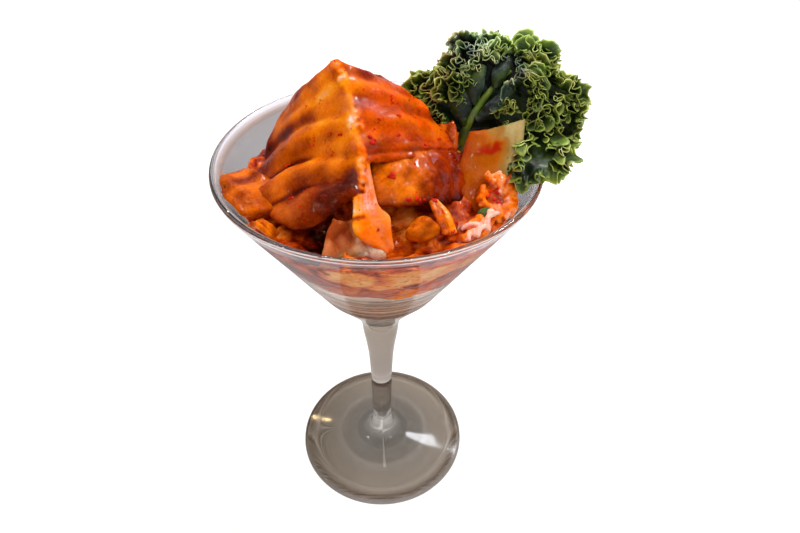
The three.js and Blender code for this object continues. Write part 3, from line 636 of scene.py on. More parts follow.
def lofted(guides, furrows=()):
    """A surface over guide curves from the midrib at u = 0 to the hem at u = 1, and its furrows.

    A furrow is (place at the midrib, place at the hem, gentle side, steep side, depth, notch).
    """
    def plain(u, v):
        rows = [curve(guide, v) for guide in guides]
        rows = np.stack([2 * rows[0] - rows[1], *rows, 2 * rows[-1] - rows[-2]])
        place = np.clip(u, 0, 1) * (len(guides) - 1)
        span = np.minimum(place.astype(int), len(guides) - 2)
        near = (np.take_along_axis(rows, (span + step)[None, ..., None], 0)[0] for step in range(4))
        return between(*near, (place - span)[..., None])

    def surface(u, v):
        depth, reach = np.zeros_like(u), u.copy()
        for at_rib, at_hem, gentle, steep, deep, notch in furrows:
            past = v - (at_rib + (at_hem - at_rib) * u)
            share = smooth_step(0.02, 0.5, u) * np.exp(-(past / np.where(past < 0, gentle, steep)) ** 2)
            depth += deep * share
            reach -= notch * u * share
        step = 0.02
        across = plain(np.minimum(u + step, 1), v) - plain(np.maximum(u - step, 0), v)
        along = plain(u, np.minimum(v + step, 1)) - plain(u, np.maximum(v - step, 0))
        return plain(reach, v) - unit(np.cross(across, along)) * depth[..., None]
    return surface


def rod(path, radii, steps=60, lumps=0.0, tone=0.6, seed=0):
    """A round tapered rod along a path, lumpy where asked."""
    places = np.linspace(0, 1, steps)
    centre = curve(path, places)
    ahead = unit(np.gradient(centre, axis=0))
    sideways = unit(np.array([1.0, 0, 0]) - ahead * ahead[:, :1])
    up = np.cross(ahead, sideways)
    radius = curve(np.array(radii, float)[:, None], places)
    angle = all_round(ROD_SIDES)
    around = (np.cos(angle)[None, :, None] * sideways[:, None] + np.sin(angle)[None, :, None] * up[:, None])
    points = centre[:, None] + radius[:, None] * around
    points = points + around * (lumps * waves(points, 3.2, seed))[..., None]
    return capped(points, tone + 0.06 * waves(points, 3, seed + 1))


LEAF_THICKNESS = 2.2
ROD_SIDES = 14
LEFT_GUIDES = [
    [[-12.7, 4, 192], [-8.8, -3, 186.6], [-6.9, -11, 180.1], [-5.1, -19, 173.9], [-3.9, -29, 165.6]],
    [[-20.2, 9, 183.3], [-23.9, 5, 174.8], [-24.6, -2, 170.7], [-25.6, -11, 165], [-12.4, -33, 161.6]],
    [[-25.8, 14, 176], [-35.2, 12, 163], [-41.2, 6, 152.1], [-40.1, -17, 156], [-22.5, -39, 150]]]
LEFT_FURROWS = [(0.45, 0.47, 0.08, 0.05, 1.8, 0), (0.78, 0.70, 0.09, 0.03, 4, 0.08),
                (0.94, 0.83, 0.045, 0.022, 1.8, 0.02)]
RIGHT_GUIDES = [
    [[-12.7, 4, 192], [-8.4, -4, 185.6], [-6.1, -13, 178.4], [-4.2, -20, 172.7]],
    [[-5.5, 6, 187.8], [0.9, 2, 181.6], [6, -5, 176.7], [8.2, -14, 170.3]],
    [[0.7, 14, 182], [13.2, 12, 173.6], [21.5, 6, 164.9], [25.9, -2, 163.1]]]
RIGHT_FURROWS = [(0.3, 0.45, 0.1, 0.08, 1, 0), (0.62, 0.78, 0.08, 0.06, 1.2, 0)]
HEM_PATH = [[-4.4, -20.5, 171.2], [2, -17.8, 170.4], [8.4, -14.6, 168.6], [17.5, -8.8, 165.3],
            [25.4, -2.8, 161.8]]
RIB_PATH = [[-12.3, 3.6, 191], [-8.6, -3.5, 185.6], [-6.5, -12, 179], [-4.8, -19.5, 173], [-4.0, -27, 167.3]]
WET_AND_GLINT_PATCHES = [(0.04, 0.05, 1.3, 0.9), (0.14, 0.06, 1.4, 0.94), (0.28, 0.08, 0.7, 0.9), (0.4, 0.05, 1.2, 0.9),
               (0.51, 0.07, 2.2, 0.96), (0.64, 0.06, 0.9, 0.86), (0.78, 0.08, 1.3, 0.9),
               (0.95, 0.1, 2.0, 0.92)]  # place along the rib, length, width, tone: pale rib and painted highlight
RIB_STEPS = 59
FRONT_STALK = [[-4.6, -20.5, 171.4], [-4.2, -26.5, 167.3], [-3.6, -33, 163.2], [-1.6, -38.2, 160.1],
               [3.3, -43.6, 155]]


def left_blade(u, v):
    """The left blade, with its front lower corner rounded off."""
    down, front = np.clip((u - 0.55) / 0.45, 0, 1), np.clip((v - 0.8) / 0.2, 0, 1)
    u = np.minimum(u, 0.55) + 0.45 * down * np.sqrt(1 - front ** 2 / 2)
    v = np.minimum(v, 0.8) + 0.2 * front * np.sqrt(1 - down ** 2 / 2)
    return lofted(LEFT_GUIDES, LEFT_FURROWS)(u, v)


def left_relief(u, v, points):
    veins = 0.1 * np.sin(2 * np.pi * (6.5 * v - 1.2 * u) + 1.5 * waves(points, 16, 11))
    lobe = 2.2 * band(v, 0.94, 0.07) * band(u, 0.8, 0.3)
    shown = smooth_step(0.05, 0.3, u) * (1 - smooth_step(0.6, 0.9, u))
    return shown * veins + lobe + 0.16 * waves(points, 9, 12)


def left_tone(u, v, points):
    # Painted light and shade: light bands along the crests of the folds and dark lines in the furrows under
    # them, partly sauce and partly painted shade; painted shade towards the hem and at the front end, deepest
    # next to the rib.
    fold = v - (0.78 - 0.08 * u)
    front = v - (0.94 - 0.11 * u)
    tone = 0.57 + 0.08 * waves(points, 12, 14) + 0.05 * np.sin(2 * np.pi * (6.5 * v - 1.2 * u))
    tone = tone - 0.23 * smooth_step(0.3, 0.75, u) + 0.08 * band(v, 0.28, 0.05)
    tone = tone - 0.22 * band(v, 0.40, 0.05) * smooth_step(0.15, 0.5, u) + 0.12 * band(v, 0.50, 0.03)
    tone = tone - 0.42 * band(fold, -0.02, 0.02) * smooth_step(0.25, 0.5, u) + 0.12 * band(fold, 0.045, 0.025)
    tone = tone - 0.34 * band(front, -0.005, 0.012) * smooth_step(0.3, 0.6, u)
    tone = tone - 0.04 * smooth_step(0.5, 0.9, v) + 0.1 * band(front, 0.05, 0.04) * smooth_step(0.4, 0.7, u)
    shade = smooth_step(0.78, 0.95, v) * (1 - smooth_step(0.4, 0.85, u))
    return tone - 0.38 * shade - 0.06 * smooth_step(0.8, 1, v) - 0.1 * smooth_step(0.9, 1, u)


def right_relief(u, v, points):
    veins = 0.16 * np.sin(2 * np.pi * (4 * v + 0.6 * u) + 1.5 * waves(points, 14, 21))
    return -(smooth_step(0.05, 0.3, u) * veins + 0.32 * waves(points, 7, 22))


def right_tone(u, v, points):
    tone = 0.46 + 0.07 * waves(points, 10, 24) - 0.14 * band(v, 0.92, 0.04) - 0.08 * band(v, 0.5, 0.08)
    tone = tone - 0.2 * band(v, 0.05, 0.12) + 0.06 * band(v, 0.75, 0.12)
    tone = tone + 0.1 * band(v, 0.8, 0.05) * smooth_step(0.3, 0.6, u) - 0.12 * band(v, 1, 0.05)
    return tone + 0.06 * np.sin(2 * np.pi * (4 * v + 0.6 * u)) + 0.04 * band(v, 0.3, 0.15)


def stalk_end_relief(u, v, points):
    return 0.1 * waves(points, 6, 32) + 0.1 * np.sin(18 * u) * (1 - v)


def stalk_end_tone(u, v, points):
    nick = band(v, 0.6, 0.025) * (1 - smooth_step(0.3, 0.45, u))
    fibres = smooth_step(0.66, 0.5, v)
    pith = 0.16 * band(u, 0.6, 0.35) + 0.05 * np.sin(34 * u) + 0.04 * waves(points * [2, 1, 1], 2, 30)
    return 0.78 + pith * fibres - 0.55 * nick + 0.03 * waves(points, 4, 31)


points, faces, tones, normals = blended([
    leaf(left_blade, 110, 170, LEAF_THICKNESS, left_relief, left_tone),
    leaf(lofted(RIGHT_GUIDES, RIGHT_FURROWS), 90, 100, LEAF_THICKNESS, right_relief, right_tone),
    rod(RIB_PATH, [0.8, 1.0, 0.9, 1.3, 1.3], lumps=0.4, tone=0.66, seed=33, steps=90),
    rod(HEM_PATH, [0.9, 1.4, 1.5, 1.3, 0.9], lumps=0.2, tone=0.42, seed=36, steps=70),
    leaf(strip(FRONT_STALK, [3.2, 5.2, 7.6, 11.4, 1.2], [1, 0, 0], arch=1.5), 50, 70, 2.4, stalk_end_relief,
         stalk_end_tone)], voxel=0.4)
rib_line = curve(RIB_PATH, np.linspace(0, 1, RIB_STEPS + 1))
to_rib = np.linalg.norm(points[:, None, :] - rib_line[None], axis=2)
rib_place, off_rib = to_rib.argmin(1) / RIB_STEPS, to_rib.min(1)
wetness = 0.5 * smooth_step(2, 12, points[:, 0]) * smooth_step(178, 168, points[:, 2])
# Each patch raises wet lumps on the rib and paints them pale, partly the rib's own colour and partly painted
# highlight.
for middle, length, width, shine in WET_AND_GLINT_PATCHES:
    patch = band(rib_place, middle, length) * smooth_step(width + 0.9, width - 0.4, off_rib)
    blobs = waves(points, 2.4, 35) + waves(points * [1, 0.6, 1], 3.6, 37)
    points = points + normals * (patch * (0.1 + 0.1 * blobs))[:, None]
    tones = tones + (shine - tones) * np.clip(patch * (0.5 + 0.5 * blobs), 0, 1)
    wetted = band(rib_place, middle, 1.4 * length) * smooth_step(width + 3, width, off_rib)
    wetness = np.maximum(wetness, wetted)
pitted = 0.03 * waves(points, 2.8, 34) + 0.05 * smooth_step(-6, 0, points[:, 0]) * waves(points, 1.6, 38)
points = points + normals * pitted[:, None]
chili_red = 0.85 * smooth_step(-8, -3, points[:, 0])
chili_red = chili_red + 0.5 * band(rib_place, 0.02, 0.12) * smooth_step(5, 1, off_rib)
chili_red = chili_red + 0.25 * waves(points, 8, 39) + 0.5 * smooth_step(159, 154, points[:, 2])
put_in(make_piece("draped_leaf", points, faces, tone=tones, red=np.clip(chili_red, 0, 1), wet=wetness),
       leaf_orange, "folded_leaf")


# ---- The leaves under and round it
# Smaller leaves and leaf ends of the same cabbage, laid against the big one and against the wall,
# all in the same wet sauce, which has run into the joints between them.

def leaf_piece(name, cad_node, part, material=leaf_orange, chili=0.0, wet=0.0):
    """A piece made of one part, with the same chili and juice all over."""
    points, faces, tones = part
    every = np.ones(len(points))
    piece = make_piece(name, points, faces, tone=tones, red=chili * every, wet=wet * every)
    put_in(piece, material, cad_node)


def crumple(size, height, seed):
    """A relief of soft folds of that size and height in millimetres, with finer ones on them."""
    return lambda u, v, points: height * (waves(points, size, seed)
                                          + 0.4 * waves(points, size / 2.6, seed + 1))


def mottled(base, vary, seed, size=6):
    """A tone that varies round a base, in soft spots of that size in millimetres."""
    return lambda u, v, points: base + vary * waves(points, size, seed)


def under_tone(u, v, points):
    dark = smooth_step(0.5, 0.78, v + 0.1 * u)
    return 0.48 - 0.26 * dark - 0.2 * smooth_step(0.8, 1, u) + 0.08 * waves(points, 6, 41)


points, faces, tones, normals = blended([leaf(lofted([
    [[-1.7, -14, 169.6], [7, -13, 169.2], [16.8, -8, 166.4], [27.3, -2, 161.6]],
    [[-1.8, -23.5, 165.6], [6.7, -22, 165.8], [17.4, -17, 164.4], [29, -9, 157.6]],
    [[-1.3, -30, 161.4], [6.4, -30, 160.8], [15.6, -27, 159.4], [27, -18, 153.4]]]),
    70, 110, LEAF_THICKNESS + 0.2, crumple(7, 0.5, 42), under_tone)], voxel=0.42)
points = points + normals * (0.05 * waves(points, 2.6, 44))[:, None]
under_leaf = make_piece("lower_leaf", points, faces, tone=tones, red=smooth_step(10, 22, points[:, 0]),
                        wet=0.2 + 0.8 * smooth_step(8, 18, points[:, 0]))
put_in(under_leaf, leaf_orange, "under_leaf")

leaf_piece("rear_leaf", "back_leaf", leaf(lofted([
    [[-18, 8, 177], [-10, 4.5, 185.5], [0, 8, 178.5], [12, 8, 169]],
    [[-21, 20, 163], [-9, 21, 172], [5, 21, 167], [17, 18, 159]],
    [[-19, 31, 150.5], [-6, 36, 151.5], [8, 36, 151.5], [21, 28, 150.5]]],
    [(0.35, 0.3, 0.1, 0.06, 2, 0), (0.6, 0.72, 0.08, 0.06, 1.8, 0)]),
    90, 110, LEAF_THICKNESS, crumple(8, 0.4, 45), mottled(0.52, 0.12, 46, 12)))


def base_tone(u, v, points):
    # Darker towards its left edge, painted shade, and darker towards its top end.
    return (0.26 + 0.3 * smooth_step(0.4, 0.8, u) + 0.3 * smooth_step(0.25, 0.55, v)
            + 0.12 * waves(points, 5, 52))


pink_rib = wet_flesh("cabbage_base", [(0.0, 100, 18, 2), (0.4, 152, 66, 24), (0.7, 198, 122, 74),
                                      (1.0, 240, 206, 184)], mottle=0.08, flecks=0.02, glow=0.5, depth=0.005)
leaf_piece("pale_base", "pale_leaf_base", leaf(strip(
    [[-9.6, -34, 160.4], [-9, -39.2, 157.4], [-7.7, -44.4, 153.6], [-7.4, -43.6, 148.4]],
    [7, 13, 19.5, 17], [1, 0.06, 0], arch=3), 60, 60, LEAF_THICKNESS, crumple(6, 0.3, 51), base_tone),
    pink_rib)


def against_wall(surface, gap):
    """The same surface, pushed in where it would come closer to the wall of the glass than the gap."""
    def laid(u, v):
        points = surface(u, v)
        reach = np.hypot(points[..., 0], points[..., 1])
        share = np.minimum(1, (inner_radius(points[..., 2]) - gap) / np.maximum(reach, 1))
        return points * np.stack([share, share, np.ones_like(share)], -1)
    return laid


leaf_piece("leaf_on_wall", "rim_leaf", leaf(against_wall(strip(
    [[-36, -8, 155.6], [-42.6, -17, 157], [-47.2, -22, 157.8]], [19, 25, 17], [-0.3, 1, 0.0],
    arch=1.4, ripple=0.5), 1.6), 70, 60, LEAF_THICKNESS, crumple(9, 0.3, 54), mottled(0.38, 0.12, 55, 8)))

leaf_piece("curled_end", "leaf_curl", leaf(strip(
    [[-38.6, -28.6, 155], [-36, -30.6, 157.2], [-32.8, -32.6, 156.2], [-30.4, -32.6, 152]],
    [4, 5, 5, 4], [0.3, 0.8, -0.4], arch=1.6), 26, 44, 1.6, crumple(3, 0.15, 57), mottled(0.42, 0.16, 58, 4)))

leaf_piece("small_leaf_end", "leaf_tab", leaf(strip(
    [[22.6, 9.8, 166.8], [23.2, 6, 163.2], [23, 1, 159.6]], [7, 8, 7], [1, -0.1, 0.1], arch=1.4),
    24, 30, 1.8, crumple(3, 0.3, 60), mottled(0.48, 0.14, 61, 4)), chili=0.8, wet=1.0)

leaf_piece("bright_strip", "leaf_strip", leaf(strip(
    [[17, -25.5, 160.6], [19.4, -31, 159], [21.4, -36.4, 155.4]], [2.4, 5.6, 5.2], [0.86, 0.3, -0.4],
    arch=0.9), 26, 44, LEAF_THICKNESS, crumple(3, 0.2, 63),
    lambda u, v, points: 0.45 + 0.32 * smooth_step(0.45, 0.7, u) + 0.1 * waves(points, 3, 64)),
    chili=0.4, wet=0.8)


# ---- The upright stalk piece
# A square cut from the thick white rib of a leaf, stood against the wall. It is translucent, amber
# where the sauce has soaked in and whitish at the dry top and right edges, with a smear of chili.

STALK_THICKNESS = 3.4
STALK_PATH = [[39.3, 6.1, 171.7], [36, -7, 163.4], [33.2, -15, 157.4], [30.6, -22.5, 151.5]]
STALK_WIDTHS = [20, 20.5, 18, 14]


def stalk_tone(u, v, points):
    dry = smooth_step(0.55, 0.95, u) * (1 - smooth_step(0.5, 0.8, v))
    dry = dry + 0.7 * band(v, 0, 0.2) * smooth_step(0.2, 0.5, u)
    smear = band(u, 0.46, 0.19) * band(v - 0.2 + 0.1 * (u - 0.46), 0, 0.045)
    soaked = 0.2 * smooth_step(0.25, 0, u) + 0.2 * smooth_step(0.4, 0.9, v)
    tone = 0.5 + 0.42 * np.clip(dry, 0, 1) - soaked + 0.015 * np.sin(40 * u) + 0.04 * waves(points, 8, 72)
    return tone - 0.6 * np.clip(smear * (1.3 + 0.6 * waves(points, 2.2, 74)), 0, 1)


def stalk_grain(u, v, points):
    return 0.04 * np.sin(40 * u) + 0.25 * waves(points, 9, 73)


def stalk_surface(u, v):
    """The piece, its top cut on a slant down to the left."""
    across, down = u + 0.13 * (1 - u) * (1 - v) ** 1.5, v + 0.15 * (1 - u) * (1 - v)
    return strip(STALK_PATH, STALK_WIDTHS, [0.98, 0.15, 0.13], arch=1.8)(across, down)


pale_rib = wet_flesh("cabbage_rib", [
    (0.0, 160, 22, 4), (0.12, 158, 30, 4), (0.32, 152, 56, 4), (0.55, 172, 86, 6), (0.8, 152, 112, 48),
    (1.0, 182, 164, 112)], mottle=0.06, flecks=0.0, glow=0.5, depth=0.005, wet=0.22)
leaf_piece("upright_stalk", "cabbage_stalk", leaf(stalk_surface, 90, 110, STALK_THICKNESS, stalk_grain,
                                                  stalk_tone), pale_rib)


# ---- The small pieces at the front right
# A rounded orange chunk, a clump of seasoned radish and cabbage shreds, a whitish rib chunk of the
# same, and a bit of green onion, all lying where the heap meets the wall.

def clump(name, cad_node, centre, radii, turn, base, seed, count):
    """A piece melted together from a core and thin torn shreds that lie over it every way."""
    draw = np.random.default_rng(seed)
    spin = turned_by(turn)
    radii = np.array(radii, float)
    parts = [chunk(centre, radii * [0.84, 0.84, 0.7], turn, 0.16, phase=seed, base=base - 0.2)]
    for _ in range(count):
        angle, heading = draw.uniform(0, 2 * np.pi), draw.uniform(-0.9, 0.9)
        middle = np.array([math.cos(angle) * radii[0] * 0.6, math.sin(angle) * radii[1] * 0.6,
                           radii[2] * 0.7])
        ahead = np.array([math.sin(heading), math.cos(heading), draw.uniform(-0.3, 0.3)])
        ahead = ahead * draw.uniform(1.8, 4.2)
        across = np.array([math.cos(heading), -math.sin(heading), draw.uniform(-1, 1)])
        path = [spin @ (middle - ahead - [0, 0, 0.8]) + centre, spin @ (middle + [0, 0, 0.4]) + centre,
                spin @ (middle + ahead - [0, 0, 0.8]) + centre]
        parts.append(leaf(strip(path, draw.uniform(1.0, 2.8, 3), spin @ across, arch=0.5), 10, 18, 1.2, None,
                          mottled(base + draw.uniform(-0.24, 0.46), 0.08, seed, 3)))
    points, faces, tones, normals = blended(parts, voxel=0.28, rounds=1)
    points = points + normals * (0.08 * waves(points, 1.6, seed))[:, None]
    leaf_piece(name, cad_node, (points, faces, tones), chili=0.7, wet=0.8)


leaf_piece("orange_chunk", "leaf_chunk", chunk([12.6, -35.8, 156.2], [4.6, 3.3, 6.2], (0.55, 0.35, 0.2), 0.15,
                                               4.4, 0.46))
clump("shred_clump", "seasoning_clump", [37.6, -18.2, 154.4], [8.2, 8.6, 3.6], (0.66, 0.1, 0.12), 0.56, 12,
      44)
clump("whitish_chunk", "pale_chunk", [31, -30.6, 151.6], [3.6, 7.4, 3], (0, -0.3, -0.86), 0.86, 4,
      9)

onion_green = wet_flesh("green_onion", [(0.0, 24, 34, 14), (1.0, 84, 106, 50)], flecks=0.0, glow=0.2,
                        gloss=0.4, wet=0.1)
leaf_piece("onion_bit", "green_onion", chunk([33, -25.4, 154.6], [2.4, 1.6, 1.4], (0.3, 0.2, 0.5), phase=2),
           onion_green)


# ---- The kale leaf
# One curly kale leaf stuck into the heap by its stem, its blade facing the diner and spread over the
# rim. It is a fan of lobes off one midrib, smooth and dark inside, whose margins are far longer than
# the blade and so ruffle into tight curls. Painted light makes their thin edges pale and the top of
# the leaf lighter; painted shade darkens the roots of the curls and the blade showing between them.

KALE_ORIGIN = np.array([45.0, 10, 175])
KALE_FACING = unit(np.array([-0.198, -0.872, 0.449]))
KALE_RIGHT = unit(np.cross([0, 0, 1.0], KALE_FACING))
KALE_UP = np.cross(KALE_FACING, KALE_RIGHT)
KALE_MIDDLE = np.array([2.6, 1.6])
KALE_HOLLOWS = [(-9.7, 6.2, 2), (-4, -6, 2.6), (2.4, -13.4, 2)]  # right, up and radius of the bare spots
KALE_MIDRIB = [[-17.2, -22], [-15.6, -15.6], [-13, -7.8], [-9.2, -0.6], [-4.9, 5.6], [-1.4, 9]]
KALE_START = -84  # the direction, in degrees, from which the outline goes round
KALE_REACH = [  # direction and how far the blade reaches that way
    (-84, 25.4), (-78, 28.8), (-73, 25.4), (-64, 26.4), (-47, 25.8), (-38, 23.8), (-30, 22), (-10, 21),
    (3, 19.4), (10, 20.4), (21, 17), (26, 13.8), (39, 12.4), (50, 14), (60, 15.8), (84, 17.8), (94, 18.6),
    (99, 15), (104, 11.6), (109, 15.4), (118, 18.6), (124, 21.4), (136, 24), (143, 28.6), (150, 28.6),
    (156, 25.2), (162, 27.2), (168, 29.6), (174, 30), (178, 35.4), (182, 38.6), (194, 34), (216, 25),
    (232, 20), (250, 14), (264, 19), (276, 28)]
MARGIN_TIERS = 18


def kale_bow(a, b):
    """How far the leaf's plane bows towards the diner."""
    low, side = smooth_step(8, 22, -b), smooth_step(-8, 6, a)
    return -3 - 6 * (np.maximum(b, 0) / 22) ** 2 + 20 * low * side - 5 * low * (1 - side)


def kale_place(a, b, forward=0.0):
    """A point of the leaf: a to its right, b up and forward of its plane."""
    a, b = np.asarray(a, float), np.asarray(b, float)
    out = kale_bow(a, b) + forward
    return KALE_ORIGIN + a[..., None] * KALE_RIGHT + b[..., None] * KALE_UP + out[..., None] * KALE_FACING


def kale_reach(degrees):
    """How far the blade reaches from its middle in a direction."""
    angles, reaches = np.array(KALE_REACH, float).T
    scallops = 0.6 * np.sin(np.radians(degrees) * 12 + 0.6) + 0.6 * np.sin(np.radians(degrees) * 23)
    degrees = (np.asarray(degrees) - KALE_START) % 360 + KALE_START
    return scallops + np.interp(degrees, angles, reaches)


def off_midrib(spots):
    """How far spots (a, b) of the leaf are from its midrib."""
    line = curve(KALE_MIDRIB, np.linspace(0, 1, 30))
    return np.linalg.norm(spots[..., None, :] - line, axis=-1).min(-1)


def ruffle(path, height, lean, seed, curl=4.4, deep=1.0):
    """A ruffled margin: a band standing off a path of (a, b, forward) points, its free edge in curls.

    lean is how far it turns from lying outward in the leaf's plane (0) to facing the diner (1).
    """
    draw = np.random.default_rng(seed)
    path = np.asarray(path, float)
    length = np.linalg.norm(np.diff(path, axis=0), axis=1).sum()
    at = draw.uniform(0, 2 * np.pi, 8)
    turn = lean * np.pi / 2

    def surface(u, v):
        base = curve(path, u)
        along = unit(curve(path, np.minimum(u + 0.01, 1)) - curve(path, np.maximum(u - 0.01, 0)))
        outward = unit(np.stack([along[..., 1], -along[..., 0], 0 * u], -1))
        forward = np.array([0, 0, 1.0])
        rise = math.cos(turn) * outward + math.sin(turn) * forward
        swing = -math.sin(turn) * outward + math.cos(turn) * forward
        place = u * length
        wide = 2 * np.pi * place / 13 + at[0] + 0.8 * np.sin(place / 5 + at[1])
        wave = 2 * np.pi * place / curl + at[2] + 1.3 * np.sin(place / 3.1 + at[3])
        fine = 2 * np.pi * place / 1.9 + at[4] + 1.2 * np.sin(place / 1.3 + at[5])
        loose, tight = v ** 1.1, smooth_step(0.4, 1, v)
        tooth = 1 - np.abs(np.sin(0.5 * wave + at[6]))
        tall = height * v * (0.86 + 0.46 * tooth ** 2 + 0.2 * np.sin(wide + at[7]))
        sway = deep * (1.3 * v * np.sin(wide) + 0.46 * curl * loose * np.sin(wave)
                       + 0.34 * tight * np.sin(fine))
        lap = -0.13 * curl * loose * np.sin(2 * wave + 0.3) - 0.12 * tight * np.sin(2 * fine)
        calm = 0.5 + 0.5 * smooth_step(3, 6, off_midrib(base[..., :2]))
        spot = base + rise * (calm * (tall + 0.25 * tight * np.cos(fine)))[..., None]
        spot = spot + swing * (calm * sway)[..., None] + along * lap[..., None]
        return kale_place(spot[..., 0], spot[..., 1], spot[..., 2])

    def tone(u, v, points):
        # Painted light and shade: each curl is toned dark at its root and pale along its free edge, where the
        # edge catches the light.
        edge = smooth_step(0.8, 0.97, v) * (0.8 + 0.3 * waves(points, 5, 98))
        return 0.08 + 0.28 * smooth_step(0.1, 0.85, v) + 0.64 * edge + 0.1 * waves(points, 4, 99)
    return leaf(surface, int(length / 0.25), 7, 0.34, None, tone)


kale_material, tree = new_material("kale")
place = coordinates(tree)
patchy = sums(tree, "ADD", mark(tree, "tone"), spread(tree, noise(tree, place, 200, 4), 0.3, 0.7, -0.1, 0.1,
                                                      clamp=False))
green = ramp(tree, patchy, [(0.0, 20, 34, 14), (0.2, 44, 66, 20), (0.45, 94, 120, 30), (0.7, 138, 162, 60),
                            (0.85, 178, 200, 96), (1.0, 210, 224, 146)])
blue = ramp(tree, patchy, [(0.0, 14, 26, 24), (0.3, 44, 66, 60), (0.6, 104, 130, 112), (1.0, 206, 222, 190)])
leafy = painted(tree, mark(tree, "cool"), green, blue)
leafy = painted(tree, mark(tree, "brown"), leafy, colour(255, 206, 200), "MULTIPLY")
veins = node(tree, "TexVoronoi", {"Vector": place, "Scale": 550},
             feature="DISTANCE_TO_EDGE").outputs["Distance"]
principled(tree, {
    "Base Color": leafy, "Roughness": 0.42, "IOR": 1.4, "Specular IOR Level": 0.35,
    "Normal": bump(tree, veins, 0.6, 0.00025), "Subsurface Weight": 0.1, "Subsurface Radius": (0.4, 1.0, 0.2),
    "Subsurface Scale": 0.0008, "Coat Weight": 0.12, "Coat Roughness": 0.25})


def kale_spots(degrees, reach, forward):
    """Spots (a, b, forward) at a reach from the leaf's middle, in directions given in degrees."""
    turn = np.radians(degrees)
    right, up = KALE_MIDDLE[0] + reach * np.cos(turn), KALE_MIDDLE[1] + reach * np.sin(turn)
    return np.stack([right, up, forward], -1)


def blade_surface(u, v):
    degrees = 360 * v
    spots = kale_spots(degrees, (kale_reach(degrees) - 0.5) * (0.0008 + 0.9992 * u), 0 * u)
    return kale_place(spots[..., 0], spots[..., 1],
                      -2.8 + 0.8 * waves(spots, 9, 101) + 1.6 * smooth_step(0.8, 1, u))


def margin_runs(inset, forward, seed):
    """Paths of (a, b, forward) points at that distance inside the leaf's outline, leaving out the midrib
    and the hollows."""
    draw = np.random.default_rng(seed)
    at = draw.uniform(0, 2 * np.pi, 3)
    degrees = np.arange(KALE_START, KALE_START + 360, 4.0) + draw.uniform(0, 4)
    turn = np.radians(degrees)
    reach = kale_reach(degrees) - inset - 1.1 * (1 + np.sin(7 * turn + at[0])) * min(1, inset / 4)
    out = forward + 1.0 * np.sin(4 * turn + at[2]) + 0.7 * np.sin(9 * turn + at[1])
    spots = kale_spots(degrees, reach, out)
    keep = (reach > 2.5) & (off_midrib(spots[:, :2]) > 3.1)
    keep &= (waves(spots * [1, 1, 0], 10, 88) > -0.85) | (inset < 2)
    for a, b, radius in KALE_HOLLOWS:
        keep &= np.hypot(spots[:, 0] - a, spots[:, 1] - b) > radius
    runs, run = [], []
    for spot, kept in zip(np.vstack([spots, spots[:2]]), np.append(keep, keep[:2])):
        if kept:
            run.append(spot)
        if not kept or len(run) > 18:
            runs.append(run)
            run = run[-2:] if kept else []
    return [run for run in runs + [run] if len(run) > 3]


def smooth_lobe(path, widths, seed, base=0.14):
    """A smooth lobe beside the midrib, along a path of (a, b, forward) points."""
    line = [kale_place(*spot) for spot in path]
    # Painted light: each lobe is toned pale along both its edges.
    return leaf(strip(line, widths, KALE_RIGHT, arch=1.2), 24, 40, 0.6, crumple(5, 0.25, seed),
                lambda u, v, _: base + 0.1 * band(u, 0.5, 0.3) + 0.45 * (band(u, 0, 0.05) + band(u, 1, 0.05)))


# The blade under the curls is toned very dark: partly its own deep green, partly painted shade seen in the
# gaps between the curls.
kale_parts = [leaf(blade_surface, 24, 160, 0.7, None, mottled(0.1, 0.06, 102, 8))]
for tier in range(MARGIN_TIERS):
    inset = 1.2 if tier == 0 else 0.7 + 2.0 * tier
    for run in margin_runs(inset, min(-0.8 + 0.5 * tier, 1.4), 300 + tier):
        odd = 0.0 if tier == 0 else (7 * len(kale_parts)) % 5 / 5
        kale_parts.append(ruffle(run, 4 if tier < 4 else 3.7, 0.5 + 0.36 * odd, 500 + len(kale_parts),
                                 curl=2.2 + 1.1 * odd, deep=1.05 + 0.1 * (tier % 4)))
    if tier < 2:
        for run in margin_runs(1.6, -2.2 - tier, 340 + tier):
            kale_parts.append(ruffle(run, 3.6, 0.2 + 0.15 * tier, 900 + len(kale_parts), curl=2.4, deep=0.9))
kale_parts += [smooth_lobe([(-14.5, -10, 0), (-17, -3, 1.5), (-17, 5, 1)], [2, 8, 4], 103),
               smooth_lobe([(-12, -3, 0.5), (-13, 3, 2), (-11, 10, 1.5)], [2, 6.5, 3], 104, 0.24),
               smooth_lobe([(-11, -8, 0.5), (-5, -3, 2), (0, 4, 1.5)], [2, 6, 3], 105),
               smooth_lobe([(-6, 3, 1), (-5, 8, 2.4), (-3, 13, 1.5)], [2, 5, 3], 106),
               smooth_lobe([(1.5, 11.5, 2.6), (6, 8.5, 4.2), (10.5, 4.5, 3.2)], [2, 4.6, 2.4], 107, 0.34)]
stem_path = [kale_place(a, b, forward)
             for (a, b), forward in zip(KALE_MIDRIB[1:], (-0.4, 0.4, 0.6, 0.6, 0.4))]
kale_parts.append(rod([[27.2, 12, 149.5]] + stem_path, [1.9, 1.7, 1.4, 1.1, 0.8, 0.5], tone=0.56))
points, faces, tones = joined(kale_parts)
aside, upward = (points - KALE_ORIGIN) @ KALE_RIGHT, (points - KALE_ORIGIN) @ KALE_UP
beside = off_midrib(np.stack([aside, upward], -1))
cool = 0.9 * band(aside, -16, 9) * band(upward, 15, 7)
cool = cool + 0.9 * smooth_step(7, 3, beside) * smooth_step(1.4, 2.4, beside)
